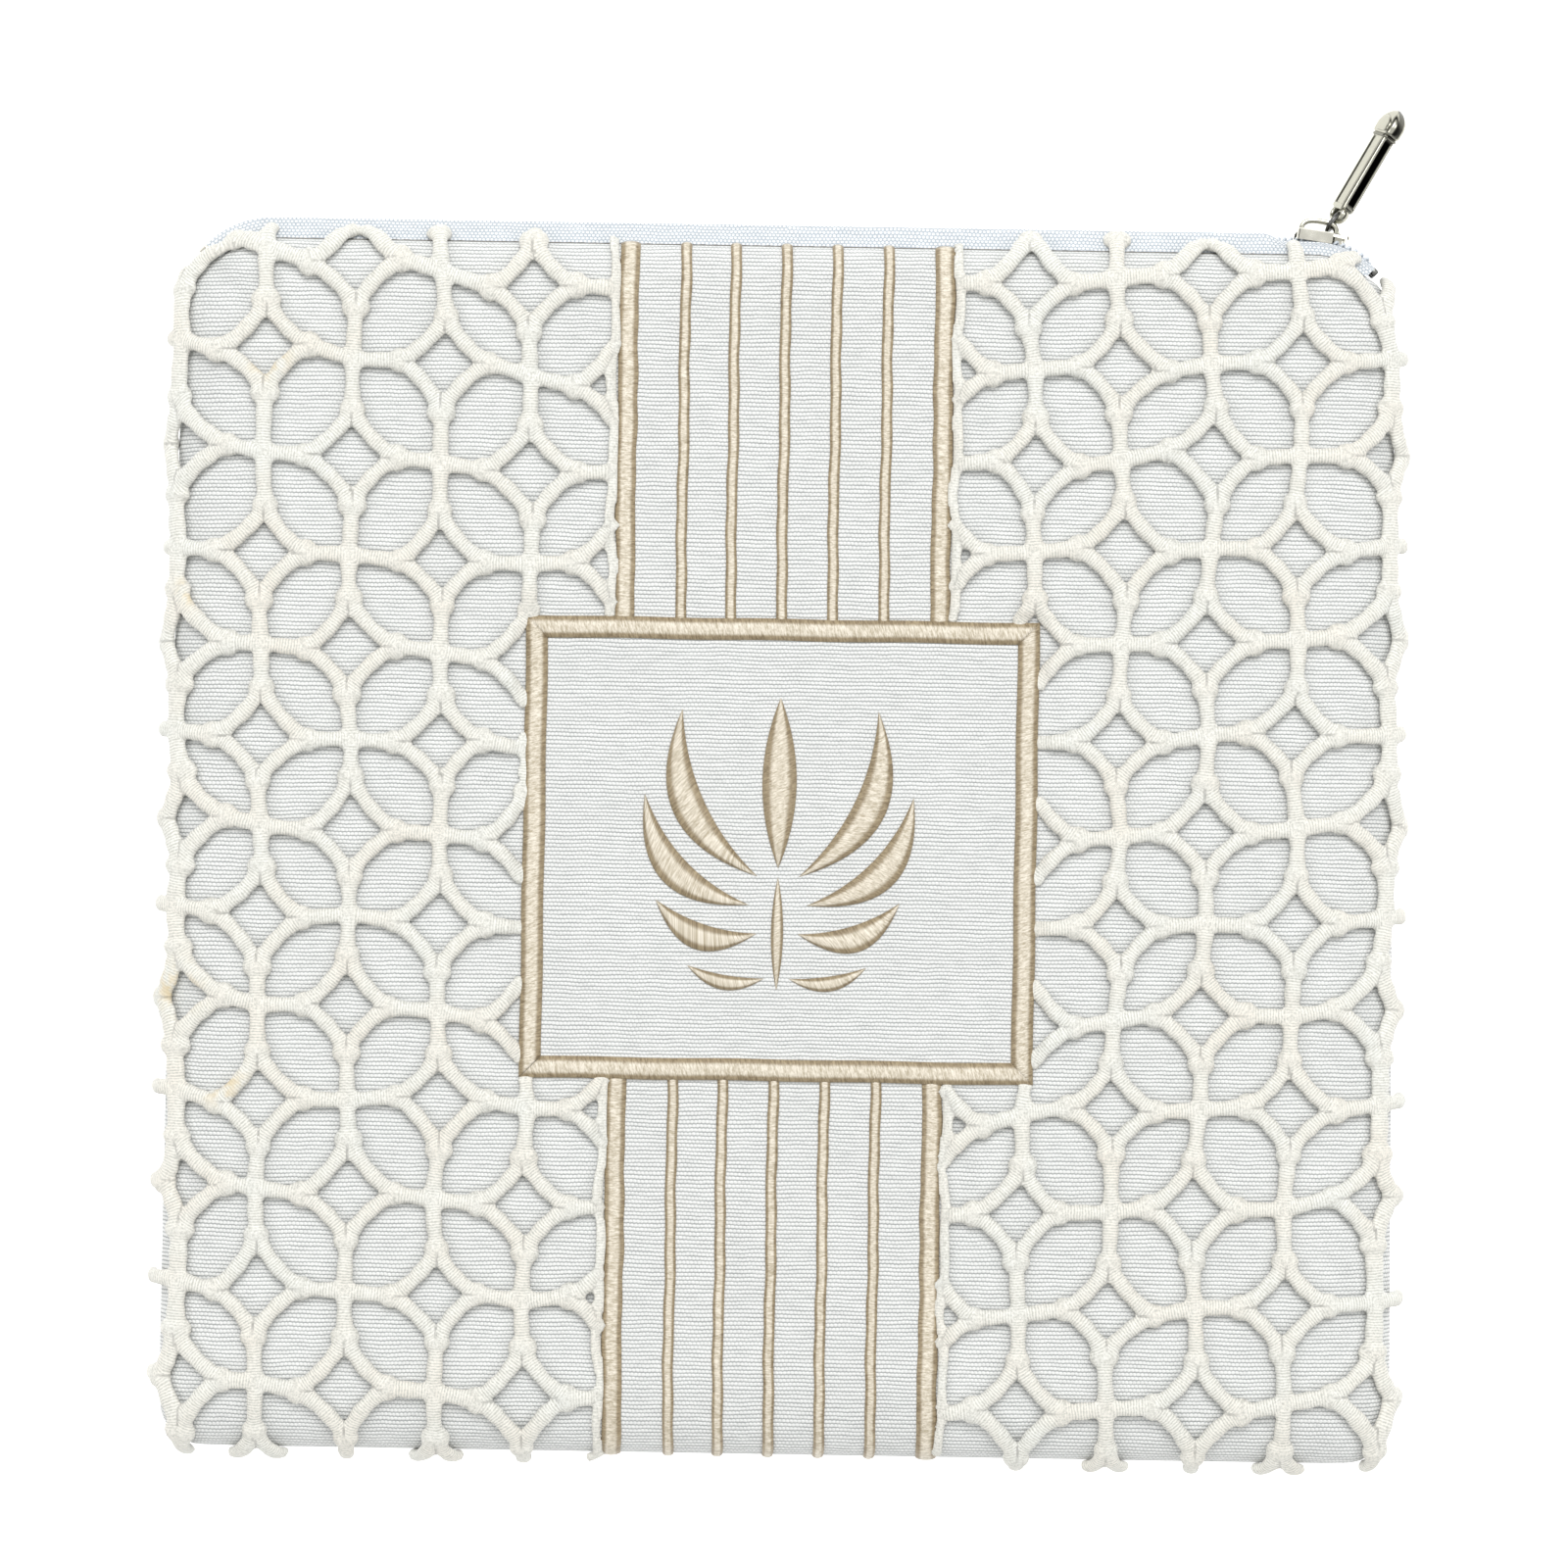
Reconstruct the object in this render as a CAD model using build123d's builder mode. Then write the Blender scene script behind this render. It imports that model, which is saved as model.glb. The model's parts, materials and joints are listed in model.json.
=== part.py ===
from build123d import *
from math import atan2, cos, radians, sin
import os

# Zipped, padded and lined presentation bag with lace side panels and a gold-stitched plaque.
#
# Frame: the bag lies on its back panel. The origin is the centre of that panel's flat resting
# face, +Z points out of the front panel, +Y points to the zipped mouth, +X runs along the zip
# towards its closing end. Millimetres throughout.

os.makedirs("parts", exist_ok=True)

# ---------------------------------------------------------------- driving dimensions
# Cloth outline, seen from the front
TOP_Y = 149.0                # top seam, where the cloth meets the zip tape
BOTTOM_Y = -150.0            # bottom seam
TOP_HALF_WIDTH = 148.0
BOTTOM_HALF_WIDTH = 151.0
TOP_CORNER_RADIUS = 20.0
BOTTOM_CORNER_RADIUS = 10.0

# Thickness
THICKNESS = 23.0             # resting face to the front face of the cloth
MID_Z = THICKNESS / 2        # seam plane
SEAM_GAP = 0.3               # clearance between the two halves
EDGE_RADIUS = 6.0            # rounding of the cloth over its sides
CLOTH = 1.2                  # canvas
WADDING = 2.5                # quilting wadding
LINING = 0.6                 # lining cloth
GUSSET_LIP_Z = 3.5           # height of the cloth lip that the zip tape is sewn to
GUSSET_FROM_Y = 142.0        # the gusset of zip tape replaces the cloth wall above this

# Zip
TAPE = 0.6                   # tape thickness
TAPE_OUT = 1.6               # middle of the tape outside the cloth outline
TAPE_STRAIGHT_HALF = 5.3     # half height of the upright part of the gusset
COIL_HALF = 2.3              # width of each half of the coil
COIL_HEIGHT = 1.7
COIL_PARTED = 1.4            # half gap of the coil ahead of the slider
PARTED_FROM_X = 133.0        # the coil halves part here, inside the slider
GUSSET_ARC = 45              # the zip runs this far round each top corner, degrees

# Slider and pull
SLIDER_AT = (130.8, 149.86)  # middle of the slider's channel at the closed end
SLIDER_TILT = -8.5           # the slider sits on the start of the corner
SLIDER_LENGTH = 13.2
SLIDER_HALF_WIDTH = 4.6
PLATE = 1.0                  # thickness of the slider's plates
CHANNEL_LOW = -1.0           # inside of the inner plate, from the channel's middle line
CHANNEL_HIGH = 2.9           # inside of the outer plate
FLANGE_LOW = 1.1             # free edge of the side flanges
FLANGE = 0.9                 # thickness of the side flanges
PLATE_RADIUS = 1.2           # corners of the plates
PLATE_CHAMFER = 0.3
POST_HALF = 1.05             # divider that parts the coil
BRIDGE_THICKNESS = 1.0
BRIDGE_HALF_WIDTH = 1.4
BRIDGE_RISE = 3.1
BRIDGE_RADIUS = 2.4
BRIDGE_INNER_RADIUS = 1.3
BRIDGE_FROM, BRIDGE_TO = -5.2, 3.2
LINK_PIVOT = (0.9, 4.7)      # centre of the ring's inner side under the bridge, slider axes
LINK_ANGLE = 54              # direction of the ring from +X
LINK_ROLL = 12               # roll of the ring about that direction
RING_RADIUS = 2.6
RING_WIRE = 0.5              # radius of the ring's wire
TAB_ANGLE = 63.5             # direction of the pull tab from +X
TAB_ROLL = 42                # roll of the pull tab about its length
TAB_LENGTH = 27.8            # hole centre to tip
TAB_WIDTH = 3.8
TAB_THICKNESS = 3.6
TAB_EYE_RADIUS = 2.2
TAB_EYE_HOLE = 1.4
TAB_EYE_THICKNESS = 2.0

# Lace: a lattice of concave diamonds joined across plain crossings
LACE_CENTRE_X = -1.2
LACE_FIRST_COLUMN = 39.9     # from the centre line to the innermost column
LACE_COLUMN_PITCH = 21.9
LACE_COLUMNS = 6
LACE_ROWS = 15
LACE_TOP_ROW = {"left": 141.7, "right": 144.5}
LACE_ROW_PITCH = {"left": 22.7, "right": 23.05}
DIAMOND_HALF_WIDTH = 10.7
DIAMOND_HALF_HEIGHT = 12.8
DIAMOND_SAGITTA = 1.8        # how far each side of a diamond bows inwards
LACE_CORD = 4.2              # width of the cords
LACE_HEIGHT = 1.8

# Gold embroidery
STRIPE_HEIGHT = 0.9
WIDE_STRIPES = (-40.1, 37.5)
WIDE_STRIPE = 4.7
NARROW_STRIPE = 2.5
NARROW_STRIPES = (-26.2, -14.0, -1.5, 11.0, 23.6)
PLAQUE_X = (-64.0, 62.1)
PLAQUE_Y = (-58.2, 55.3)
PLAQUE_BORDER = 5.4
PATCH = 0.5                  # cloth of the plaque
BORDER_HEIGHT = 1.3
MOTIF_HEIGHT = 1.4

# ---------------------------------------------------------------- derived values
taper = atan2(BOTTOM_HALF_WIDTH - TOP_HALF_WIDTH, TOP_Y - BOTTOM_Y)
corner_y = TOP_Y - TOP_CORNER_RADIUS
corner_x = TOP_HALF_WIDTH + TOP_CORNER_RADIUS * (sin(taper) - 1) / cos(taper)
front_low = MID_Z + SEAM_GAP / 2
front_lip = THICKNESS - GUSSET_LIP_Z


def outline(out):
    """Outline of the cloth, moved out by the given amount."""
    with BuildSketch(mode=Mode.PRIVATE) as face:
        top, bottom = TOP_HALF_WIDTH + out, BOTTOM_HALF_WIDTH + out
        Polygon((-bottom, BOTTOM_Y - out), (bottom, BOTTOM_Y - out),
                (top, TOP_Y + out), (-top, TOP_Y + out), align=None)
        fillet(face.vertices().group_by(Axis.Y)[-1], TOP_CORNER_RADIUS + out)
        fillet(face.vertices().group_by(Axis.Y)[0], BOTTOM_CORNER_RADIUS + out)
    return face.sketch


def rounded_block(out, low, high, radius, round_top):
    """A block of the bag's outline with its top or bottom edge rounded."""
    with BuildPart(mode=Mode.PRIVATE) as block:
        with BuildSketch(Plane.XY.offset(low)):
            add(outline(out))
        extrude(amount=high - low)
        face = block.faces().sort_by(Axis.Z)[-1 if round_top else 0]
        fillet(face.edges(), radius)
    return block.part


def half_shell(out, thickness, radius, low, high, front):
    """Open tray of one layer: a rounded block less the block inside it.

    front is True for the half above the seam plane. low and high are the tray's heights.
    """
    inner_low, inner_high = (low - 1, high - thickness) if front else (low + thickness, high + 1)
    with BuildPart(mode=Mode.PRIVATE) as tray:
        add(rounded_block(out, low, high, radius, front))
        inner = rounded_block(out - thickness, inner_low, inner_high, radius - thickness, front)
        add(inner, mode=Mode.SUBTRACT)
    return tray.part


def skin(height, layer, low):
    """Thin layer over the front cloth, from its top face down to the given height."""
    with BuildPart(mode=Mode.PRIVATE) as shell:
        add(rounded_block(height, low, THICKNESS + height, EDGE_RADIUS + height, True))
        add(rounded_block(0, low - 1, THICKNESS, EDGE_RADIUS, True), mode=Mode.SUBTRACT)
        with BuildSketch(Plane.XY.offset(low - 1)):
            with Locations((0, GUSSET_FROM_Y)):
                Rectangle(400, 40, align=(Align.CENTER, Align.MIN))
        extrude(amount=front_lip - low + 1, mode=Mode.SUBTRACT)
        with BuildSketch(Plane.XY.offset(low - 1)):
            add(layer)
        extrude(amount=THICKNESS, mode=Mode.INTERSECT)
    return shell.part


def gusset_strip(section):
    """A strip along the mouth: straight, then round both top corners.

    section gives the (y, z) points of the strip for a distance from the seam plane. The strip
    is closed against its twin behind the slider and parted from it ahead of the slider.
    """
    halves = []
    for gap, keep in ((SEAM_GAP / 2, Keep.BOTTOM), (COIL_PARTED, Keep.TOP)):
        with BuildPart(mode=Mode.PRIVATE) as strip:
            with BuildSketch(Plane.YZ.offset(-corner_x)):
                Polygon(*section(gap), align=None)
            extrude(amount=2 * corner_x)
            for side in (-1, 1):
                with BuildSketch(Plane.YZ.offset(side * corner_x)):
                    Polygon(*section(gap), align=None)
                pivot = Axis((side * corner_x, corner_y, 0), (0, 0, -side))
                revolve(axis=pivot, revolution_arc=GUSSET_ARC)
            split(bisect_by=Plane.YZ.offset(PARTED_FROM_X), keep=keep)
        halves.append(strip.part)
    return halves


# ---------------------------------------------------------------- cloth, wadding and lining
gusset_width = 2 * (corner_x + (TOP_CORNER_RADIUS + TAPE_OUT) * sin(radians(GUSSET_ARC)))

with BuildPart() as back_panel:
    add(half_shell(0, CLOTH, EDGE_RADIUS, 0, MID_Z - SEAM_GAP / 2, False))
    with BuildSketch(Plane.XY.offset(GUSSET_LIP_Z)):
        with Locations((0, GUSSET_FROM_Y)):
            Rectangle(gusset_width, 20, align=(Align.CENTER, Align.MIN))
    extrude(amount=THICKNESS, mode=Mode.SUBTRACT)
back_panel.part.label = "back_panel"
export_step(back_panel.part, "parts/back_panel.step")

with BuildPart() as front_panel:
    add(half_shell(0, CLOTH, EDGE_RADIUS, front_low, THICKNESS, True))
    with BuildSketch(Plane.XY.offset(front_lip)):
        with Locations((0, GUSSET_FROM_Y)):
            Rectangle(gusset_width, 20, align=(Align.CENTER, Align.MIN))
    extrude(amount=-THICKNESS, mode=Mode.SUBTRACT)
front_panel.part.label = "front_panel"
export_step(front_panel.part, "parts/front_panel.step")

with BuildPart() as back_wadding:
    with BuildSketch(Plane.XY.offset(CLOTH)):
        add(outline(-EDGE_RADIUS))
    extrude(amount=WADDING)
back_wadding.part.label = "back_wadding"
export_step(back_wadding.part, "parts/back_wadding.step")

with BuildPart() as front_wadding:
    with BuildSketch(Plane.XY.offset(THICKNESS - CLOTH)):
        add(outline(-EDGE_RADIUS))
    extrude(amount=-WADDING)
front_wadding.part.label = "front_wadding"
export_step(front_wadding.part, "parts/front_wadding.step")

lining_low = CLOTH + WADDING
lining_radius = EDGE_RADIUS / 2

with BuildPart() as back_lining:
    add(half_shell(-CLOTH, LINING, lining_radius, lining_low, MID_Z - SEAM_GAP / 2, False))
    with BuildSketch(Plane.XY.offset(lining_low)):
        with Locations((0, GUSSET_FROM_Y)):
            Rectangle(2 * BOTTOM_HALF_WIDTH, 20, align=(Align.CENTER, Align.MIN))
    extrude(amount=THICKNESS, mode=Mode.SUBTRACT)
back_lining.part.label = "back_lining"
export_step(back_lining.part, "parts/back_lining.step")

with BuildPart() as front_lining:
    add(half_shell(-CLOTH, LINING, lining_radius, front_low, THICKNESS - lining_low, True))
    with BuildSketch(Plane.XY.offset(THICKNESS - lining_low)):
        with Locations((0, GUSSET_FROM_Y)):
            Rectangle(2 * BOTTOM_HALF_WIDTH, 20, align=(Align.CENTER, Align.MIN))
    extrude(amount=-THICKNESS, mode=Mode.SUBTRACT)
front_lining.part.label = "front_lining"
export_step(front_lining.part, "parts/front_lining.step")

# ---------------------------------------------------------------- zip tape and coil
tape_y = TOP_Y + TAPE_OUT
lip_y = TOP_Y - EDGE_RADIUS + (EDGE_RADIUS**2 - (EDGE_RADIUS - GUSSET_LIP_Z) ** 2) ** 0.5 - CLOTH / 2


def tape(side):
    """One tape: upright beside the coil, then slanting in to the lip of the cloth."""
    def section(gap):
        points = [(tape_y, gap), (tape_y, TAPE_STRAIGHT_HALF), (lip_y, MID_Z - GUSSET_LIP_Z)]
        inner = [(y - TAPE / 2, MID_Z + side * z) for y, z in points]
        outer = [(y + TAPE / 2, MID_Z + side * z) for y, z in reversed(points)]
        return inner + outer
    return gusset_strip(section)


def coil(side):
    """One half of the coil, on the outer face of its tape."""
    def section(gap):
        low, high = tape_y + TAPE / 2, tape_y + TAPE / 2 + COIL_HEIGHT
        near, far = MID_Z + side * gap, MID_Z + side * (gap + COIL_HALF)
        return [(low, near), (high, near), (high, far), (low, far)]
    return gusset_strip(section)


with BuildPart() as back_tape:
    add(tape(-1))
back_tape.part.label = "back_tape"
export_step(back_tape.part, "parts/back_tape.step")

with BuildPart() as front_tape:
    add(tape(1))
front_tape.part.label = "front_tape"
export_step(front_tape.part, "parts/front_tape.step")

with BuildPart() as back_coil:
    add(coil(-1))
back_coil.part.label = "back_coil"
export_step(back_coil.part, "parts/back_coil.step")

with BuildPart() as front_coil:
    add(coil(1))
front_coil.part.label = "front_coil"
export_step(front_coil.part, "parts/front_coil.step")

# ---------------------------------------------------------------- zip stops
STOP_LENGTH = 2.6
STOP_DEPTH = 2.6
STOP_ROUNDING = 0.6
STOP_CHAMFER = 0.35
stop_radius = TOP_CORNER_RADIUS + TAPE_OUT + TAPE / 2


def stop_plane(side):
    """Plane at the end of the zip, x along the zip and z out of the bag."""
    angle = radians(90 - side * GUSSET_ARC)
    out = Vector(cos(angle), sin(angle), 0)
    at = Vector(side * corner_x, corner_y, MID_Z) + out * stop_radius
    along = Vector(sin(angle), -cos(angle), 0) * side
    return Plane(origin=at + along * (STOP_LENGTH / 2), x_dir=along, z_dir=out)


def stop(side, across, centre):
    """A clamped metal stop: across is its width over the coil, centre its offset along Z."""
    with BuildPart(mode=Mode.PRIVATE) as clip:
        with BuildSketch(stop_plane(side)):
            with Locations((0, -side * centre)):
                RectangleRounded(STOP_LENGTH, across, STOP_ROUNDING)
        extrude(amount=STOP_DEPTH)
        chamfer(clip.faces().filter_by(GeomType.PLANE).sort_by_distance(
            stop_plane(side).origin + stop_plane(side).z_dir * STOP_DEPTH)[0].edges(), STOP_CHAMFER)
    return clip.part


with BuildPart() as back_top_stop:
    add(stop(1, COIL_HALF, -(COIL_PARTED + COIL_HALF / 2)))
back_top_stop.part.label = "back_top_stop"
export_step(back_top_stop.part, "parts/back_top_stop.step")

with BuildPart() as front_top_stop:
    add(stop(1, COIL_HALF, COIL_PARTED + COIL_HALF / 2))
front_top_stop.part.label = "front_top_stop"
export_step(front_top_stop.part, "parts/front_top_stop.step")

with BuildPart() as bottom_stop:
    add(stop(-1, 2 * COIL_HALF, 0))
bottom_stop.part.label = "bottom_stop"
export_step(bottom_stop.part, "parts/bottom_stop.step")

# ---------------------------------------------------------------- slider
slider_along = Vector(cos(radians(SLIDER_TILT)), sin(radians(SLIDER_TILT)), 0)
slider_out = Vector(-slider_along.Y, slider_along.X, 0)
slider_centre = Vector(SLIDER_AT[0], SLIDER_AT[1], MID_Z)
PLATE_REAR_HALF = 4.1
PLATE_NOSE_HALF = 3.0
FLANGE_TO = 2.2              # the side flanges end where the tapes come in
half_length = SLIDER_LENGTH / 2


def slider_level(height):
    """Plane square to the slider's plates, at a height from the channel's middle line."""
    return Plane(origin=slider_centre + slider_out * height, x_dir=slider_along, z_dir=slider_out)


def plate_outline(inset=0.0):
    """Outline of a slider plate: blunt behind, widest at the shoulders, narrow at the nose."""
    with BuildSketch(mode=Mode.PRIVATE) as plate:
        half = [(-half_length + inset, PLATE_REAR_HALF - inset),
                (FLANGE_TO, SLIDER_HALF_WIDTH - inset),
                (half_length - inset, PLATE_NOSE_HALF - inset)]
        Polygon(*half, *[(x, -y) for x, y in reversed(half)], align=None)
        fillet(plate.vertices(), PLATE_RADIUS)
    return plate.sketch


with BuildPart() as slider_body:
    with BuildSketch(slider_level(CHANNEL_LOW - PLATE)):
        add(plate_outline())
    extrude(amount=PLATE)
    with BuildSketch(slider_level(CHANNEL_HIGH)):
        add(plate_outline())
    extrude(amount=PLATE)
    outer_face = slider_body.faces().sort_by_distance(slider_centre + slider_out * 9)[0]
    chamfer(outer_face.edges(), PLATE_CHAMFER)
    with BuildSketch(slider_level(FLANGE_LOW)):
        add(plate_outline())
        add(plate_outline(FLANGE), mode=Mode.SUBTRACT)
        with Locations((FLANGE_TO, 0)):
            Rectangle(20, 20, align=(Align.MIN, Align.CENTER), mode=Mode.SUBTRACT)
        with Locations((-half_length, 0)):
            Rectangle(4, 2 * (PLATE_REAR_HALF - FLANGE), mode=Mode.SUBTRACT)
    extrude(amount=CHANNEL_HIGH - FLANGE_LOW)
    with BuildSketch(slider_level(CHANNEL_LOW)):
        with Locations((half_length - 2.6, 0)):
            SlotOverall(3.6, 2 * POST_HALF)
    extrude(amount=CHANNEL_HIGH - CHANNEL_LOW)
slider_body.part.label = "slider_body"
export_step(slider_body.part, "parts/slider_body.step")

bridge_plane = Plane(origin=slider_centre, x_dir=slider_along, z_dir=(0, 0, 1))
bridge_base = CHANNEL_HIGH + PLATE

with BuildPart() as slider_bridge:
    with BuildSketch(bridge_plane):
        with Locations(((BRIDGE_FROM + BRIDGE_TO) / 2, bridge_base)):
            span = BRIDGE_TO - BRIDGE_FROM
            RectangleRounded(span, 2 * BRIDGE_RISE, BRIDGE_RADIUS)
            RectangleRounded(span - 2 * BRIDGE_THICKNESS, 2 * (BRIDGE_RISE - BRIDGE_THICKNESS),
                             BRIDGE_INNER_RADIUS, mode=Mode.SUBTRACT)
            Rectangle(span, BRIDGE_RISE, align=(Align.CENTER, Align.MAX), mode=Mode.SUBTRACT)
    extrude(amount=BRIDGE_HALF_WIDTH, both=True)
slider_bridge.part.label = "slider_bridge"
export_step(slider_bridge.part, "parts/slider_bridge.step")

# ---------------------------------------------------------------- link ring and pull tab
link_pivot = slider_centre + slider_along * LINK_PIVOT[0] + slider_out * LINK_PIVOT[1]
link_along = Vector(cos(radians(LINK_ANGLE)), sin(radians(LINK_ANGLE)), 0)
link_side = Vector(-link_along.Y, link_along.X, 0)
link_face = link_side * cos(radians(LINK_ROLL)) - Vector(0, 0, 1) * sin(radians(LINK_ROLL))
ring_plane = Plane(origin=link_pivot + link_along * RING_RADIUS, x_dir=link_along, z_dir=link_face)

with BuildPart(ring_plane) as link_ring:
    Torus(RING_RADIUS, RING_WIRE)
link_ring.part.label = "link_ring"
export_step(link_ring.part, "parts/link_ring.step")

tab_pivot = link_pivot + link_along * 2 * RING_RADIUS
tab_along = Vector(cos(radians(TAB_ANGLE)), sin(radians(TAB_ANGLE)), 0)
tab_side = Vector(-tab_along.Y, tab_along.X, 0)
tab_face = Vector(0, 0, 1) * cos(radians(TAB_ROLL)) + tab_side * sin(radians(TAB_ROLL))
BAR_FROM = 2.5
FINIAL_FROM, FINIAL_SHOULDER, FINIAL_EAVES = 20.4, 21.3, 24.2
FINIAL_HALF = 3.1
FINIAL_THICKNESS = 4.2
FINIAL_CHAMFER = 0.25
RECESS_DEPTH = 0.3
RECESS_FROM, RECESS_TO = 4.0, 19.4
RECESS_WIDTH = 2.5


def tab_level(height):
    """Plane parallel to the tab's face, at a height from its middle."""
    return Plane(origin=tab_pivot + tab_face * height, x_dir=tab_along, z_dir=tab_face)


with BuildPart() as pull_tab:
    with BuildSketch(tab_level(0)):
        Circle(TAB_EYE_RADIUS)
        with Locations((BAR_FROM, 0)):
            Rectangle(2 * TAB_EYE_RADIUS, 3.2, align=(Align.MAX, Align.CENTER))
    extrude(amount=TAB_EYE_THICKNESS / 2, both=True)
    with BuildSketch(tab_level(0)):
        with Locations((BAR_FROM, 0)):
            Rectangle(FINIAL_EAVES - BAR_FROM, TAB_WIDTH, align=(Align.MIN, Align.CENTER))
    extrude(amount=TAB_THICKNESS / 2, both=True)
    with BuildSketch(tab_level(0)):
        half = [(FINIAL_FROM, TAB_WIDTH / 2), (FINIAL_SHOULDER, FINIAL_HALF),
                (FINIAL_EAVES, FINIAL_HALF), (TAB_LENGTH, 0.9)]
        Polygon(*half, *[(x, -y) for x, y in reversed(half)], align=None)
    extrude(amount=FINIAL_THICKNESS / 2, both=True)
    for height in (-FINIAL_THICKNESS / 2, FINIAL_THICKNESS / 2):
        cap = pull_tab.faces().sort_by_distance(
            tab_pivot + tab_along * FINIAL_EAVES + tab_face * height * 4)[0]
        chamfer(cap.edges(), FINIAL_CHAMFER)
    with BuildSketch(tab_level(TAB_THICKNESS / 2)):
        with Locations(((RECESS_FROM + RECESS_TO) / 2, 0)):
            RectangleRounded(RECESS_TO - RECESS_FROM, RECESS_WIDTH, 0.5)
    extrude(amount=-RECESS_DEPTH, mode=Mode.SUBTRACT)
    with BuildSketch(tab_level(0)):
        Circle(TAB_EYE_HOLE)
    extrude(amount=TAB_EYE_THICKNESS, both=True, mode=Mode.SUBTRACT)
pull_tab.part.label = "pull_tab"
export_step(pull_tab.part, "parts/pull_tab.step")

# ---------------------------------------------------------------- gold embroidery
def stripes(places, width):
    """Vertical stripes above and below the plaque, on the current sketch plane."""
    with BuildSketch(mode=Mode.PRIVATE) as bands:
        for x in places:
            for low, high in ((BOTTOM_Y - 9, PLAQUE_Y[0]), (PLAQUE_Y[1], TOP_Y - 1)):
                with Locations((x, low)):
                    Rectangle(width, high - low, align=(Align.CENTER, Align.MIN))
    return bands.sketch


with BuildPart() as wide_stripes:
    add(skin(STRIPE_HEIGHT, stripes(WIDE_STRIPES, WIDE_STRIPE), MID_Z + 1))
wide_stripes.part.label = "wide_stripes"
export_step(wide_stripes.part, "parts/wide_stripes.step")

with BuildPart() as narrow_stripes:
    add(skin(STRIPE_HEIGHT, stripes(NARROW_STRIPES, NARROW_STRIPE), MID_Z + 1))
narrow_stripes.part.label = "narrow_stripes"
export_step(narrow_stripes.part, "parts/narrow_stripes.step")

plaque_centre = ((PLAQUE_X[0] + PLAQUE_X[1]) / 2, (PLAQUE_Y[0] + PLAQUE_Y[1]) / 2)
plaque_size = (PLAQUE_X[1] - PLAQUE_X[0], PLAQUE_Y[1] - PLAQUE_Y[0])

with BuildPart() as plaque_patch:
    with BuildSketch(Plane.XY.offset(THICKNESS)):
        with Locations(plaque_centre):
            Rectangle(*plaque_size)
    extrude(amount=PATCH)
plaque_patch.part.label = "plaque_patch"
export_step(plaque_patch.part, "parts/plaque_patch.step")

with BuildPart() as plaque_border:
    with BuildSketch(Plane.XY.offset(THICKNESS + PATCH)):
        with Locations(plaque_centre):
            Rectangle(*plaque_size)
            Rectangle(*[size - 2 * PLAQUE_BORDER for size in plaque_size], mode=Mode.SUBTRACT)
    extrude(amount=BORDER_HEIGHT)
plaque_border.part.label = "plaque_border"
export_step(plaque_border.part, "parts/plaque_border.step")

# Each stroke of the motif is a crescent: start, end and how far its two edges bow
MOTIF_STROKES = [((0, -6), (0, 36), 4.2, -4.2),
                 ((0, -36), (0, -8), 1.5, -1.5),
                 ((5, -8), (24, 33), -12.5, -4.5),
                 ((7, -15), (33, 12), -11.5, -4.0),
                 ((5, -22), (30, -14), -8.5, -2.0),
                 ((3, -33), (22, -30), -4.5, -0.8)]

with BuildPart() as centre_motif:
    with BuildSketch(Plane.XY.offset(THICKNESS + PATCH)):
        for start, end, outer, inner in MOTIF_STROKES:
            for side in (-1, 1):
                if start[0] == 0 and side < 0:
                    continue
                first = (LACE_CENTRE_X + side * start[0], start[1])
                last = (LACE_CENTRE_X + side * end[0], end[1])
                with BuildLine():
                    SagittaArc(first, last, side * outer)
                    SagittaArc(first, last, side * inner)
                make_face()
    extrude(amount=MOTIF_HEIGHT)
centre_motif.part.label = "centre_motif"
export_step(centre_motif.part, "parts/centre_motif.step")

# ---------------------------------------------------------------- lace


def round_hole(row_pitch, lean):
    """Round hole between two crossings and two diamonds; lean is 1 or -1 in X.

    Its skeleton starts from the crossing at the origin and is drawn in by half a cord.
    """
    wide = LACE_COLUMN_PITCH
    with BuildSketch(mode=Mode.PRIVATE) as hole:
        with BuildLine():
            Polyline((0, row_pitch - DIAMOND_HALF_HEIGHT), (0, 0), (wide - DIAMOND_HALF_WIDTH, 0))
            SagittaArc((wide - DIAMOND_HALF_WIDTH, 0), (wide, DIAMOND_HALF_HEIGHT),
                       -DIAMOND_SAGITTA)
            Polyline((wide, DIAMOND_HALF_HEIGHT), (wide, row_pitch), (DIAMOND_HALF_WIDTH, row_pitch))
            SagittaArc((DIAMOND_HALF_WIDTH, row_pitch), (0, row_pitch - DIAMOND_HALF_HEIGHT),
                       -DIAMOND_SAGITTA)
        make_face()
        offset(amount=-LACE_CORD / 2, kind=Kind.INTERSECTION, mode=Mode.REPLACE)
        if lean < 0:
            mirror(about=Plane.YZ, mode=Mode.REPLACE)
    return hole.sketch


def diamond_hole():
    """Hole in a diamond with four inward-bowed sides, centred on the origin."""
    tips = [(DIAMOND_HALF_WIDTH, 0), (0, DIAMOND_HALF_HEIGHT),
            (-DIAMOND_HALF_WIDTH, 0), (0, -DIAMOND_HALF_HEIGHT)]
    with BuildSketch(mode=Mode.PRIVATE) as hole:
        with BuildLine():
            for start, end in zip(tips, tips[1:] + tips[:1]):
                SagittaArc(start, end, -DIAMOND_SAGITTA)
        make_face()
        offset(amount=-LACE_CORD / 2, kind=Kind.INTERSECTION, mode=Mode.REPLACE)
    return hole.sketch


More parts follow.
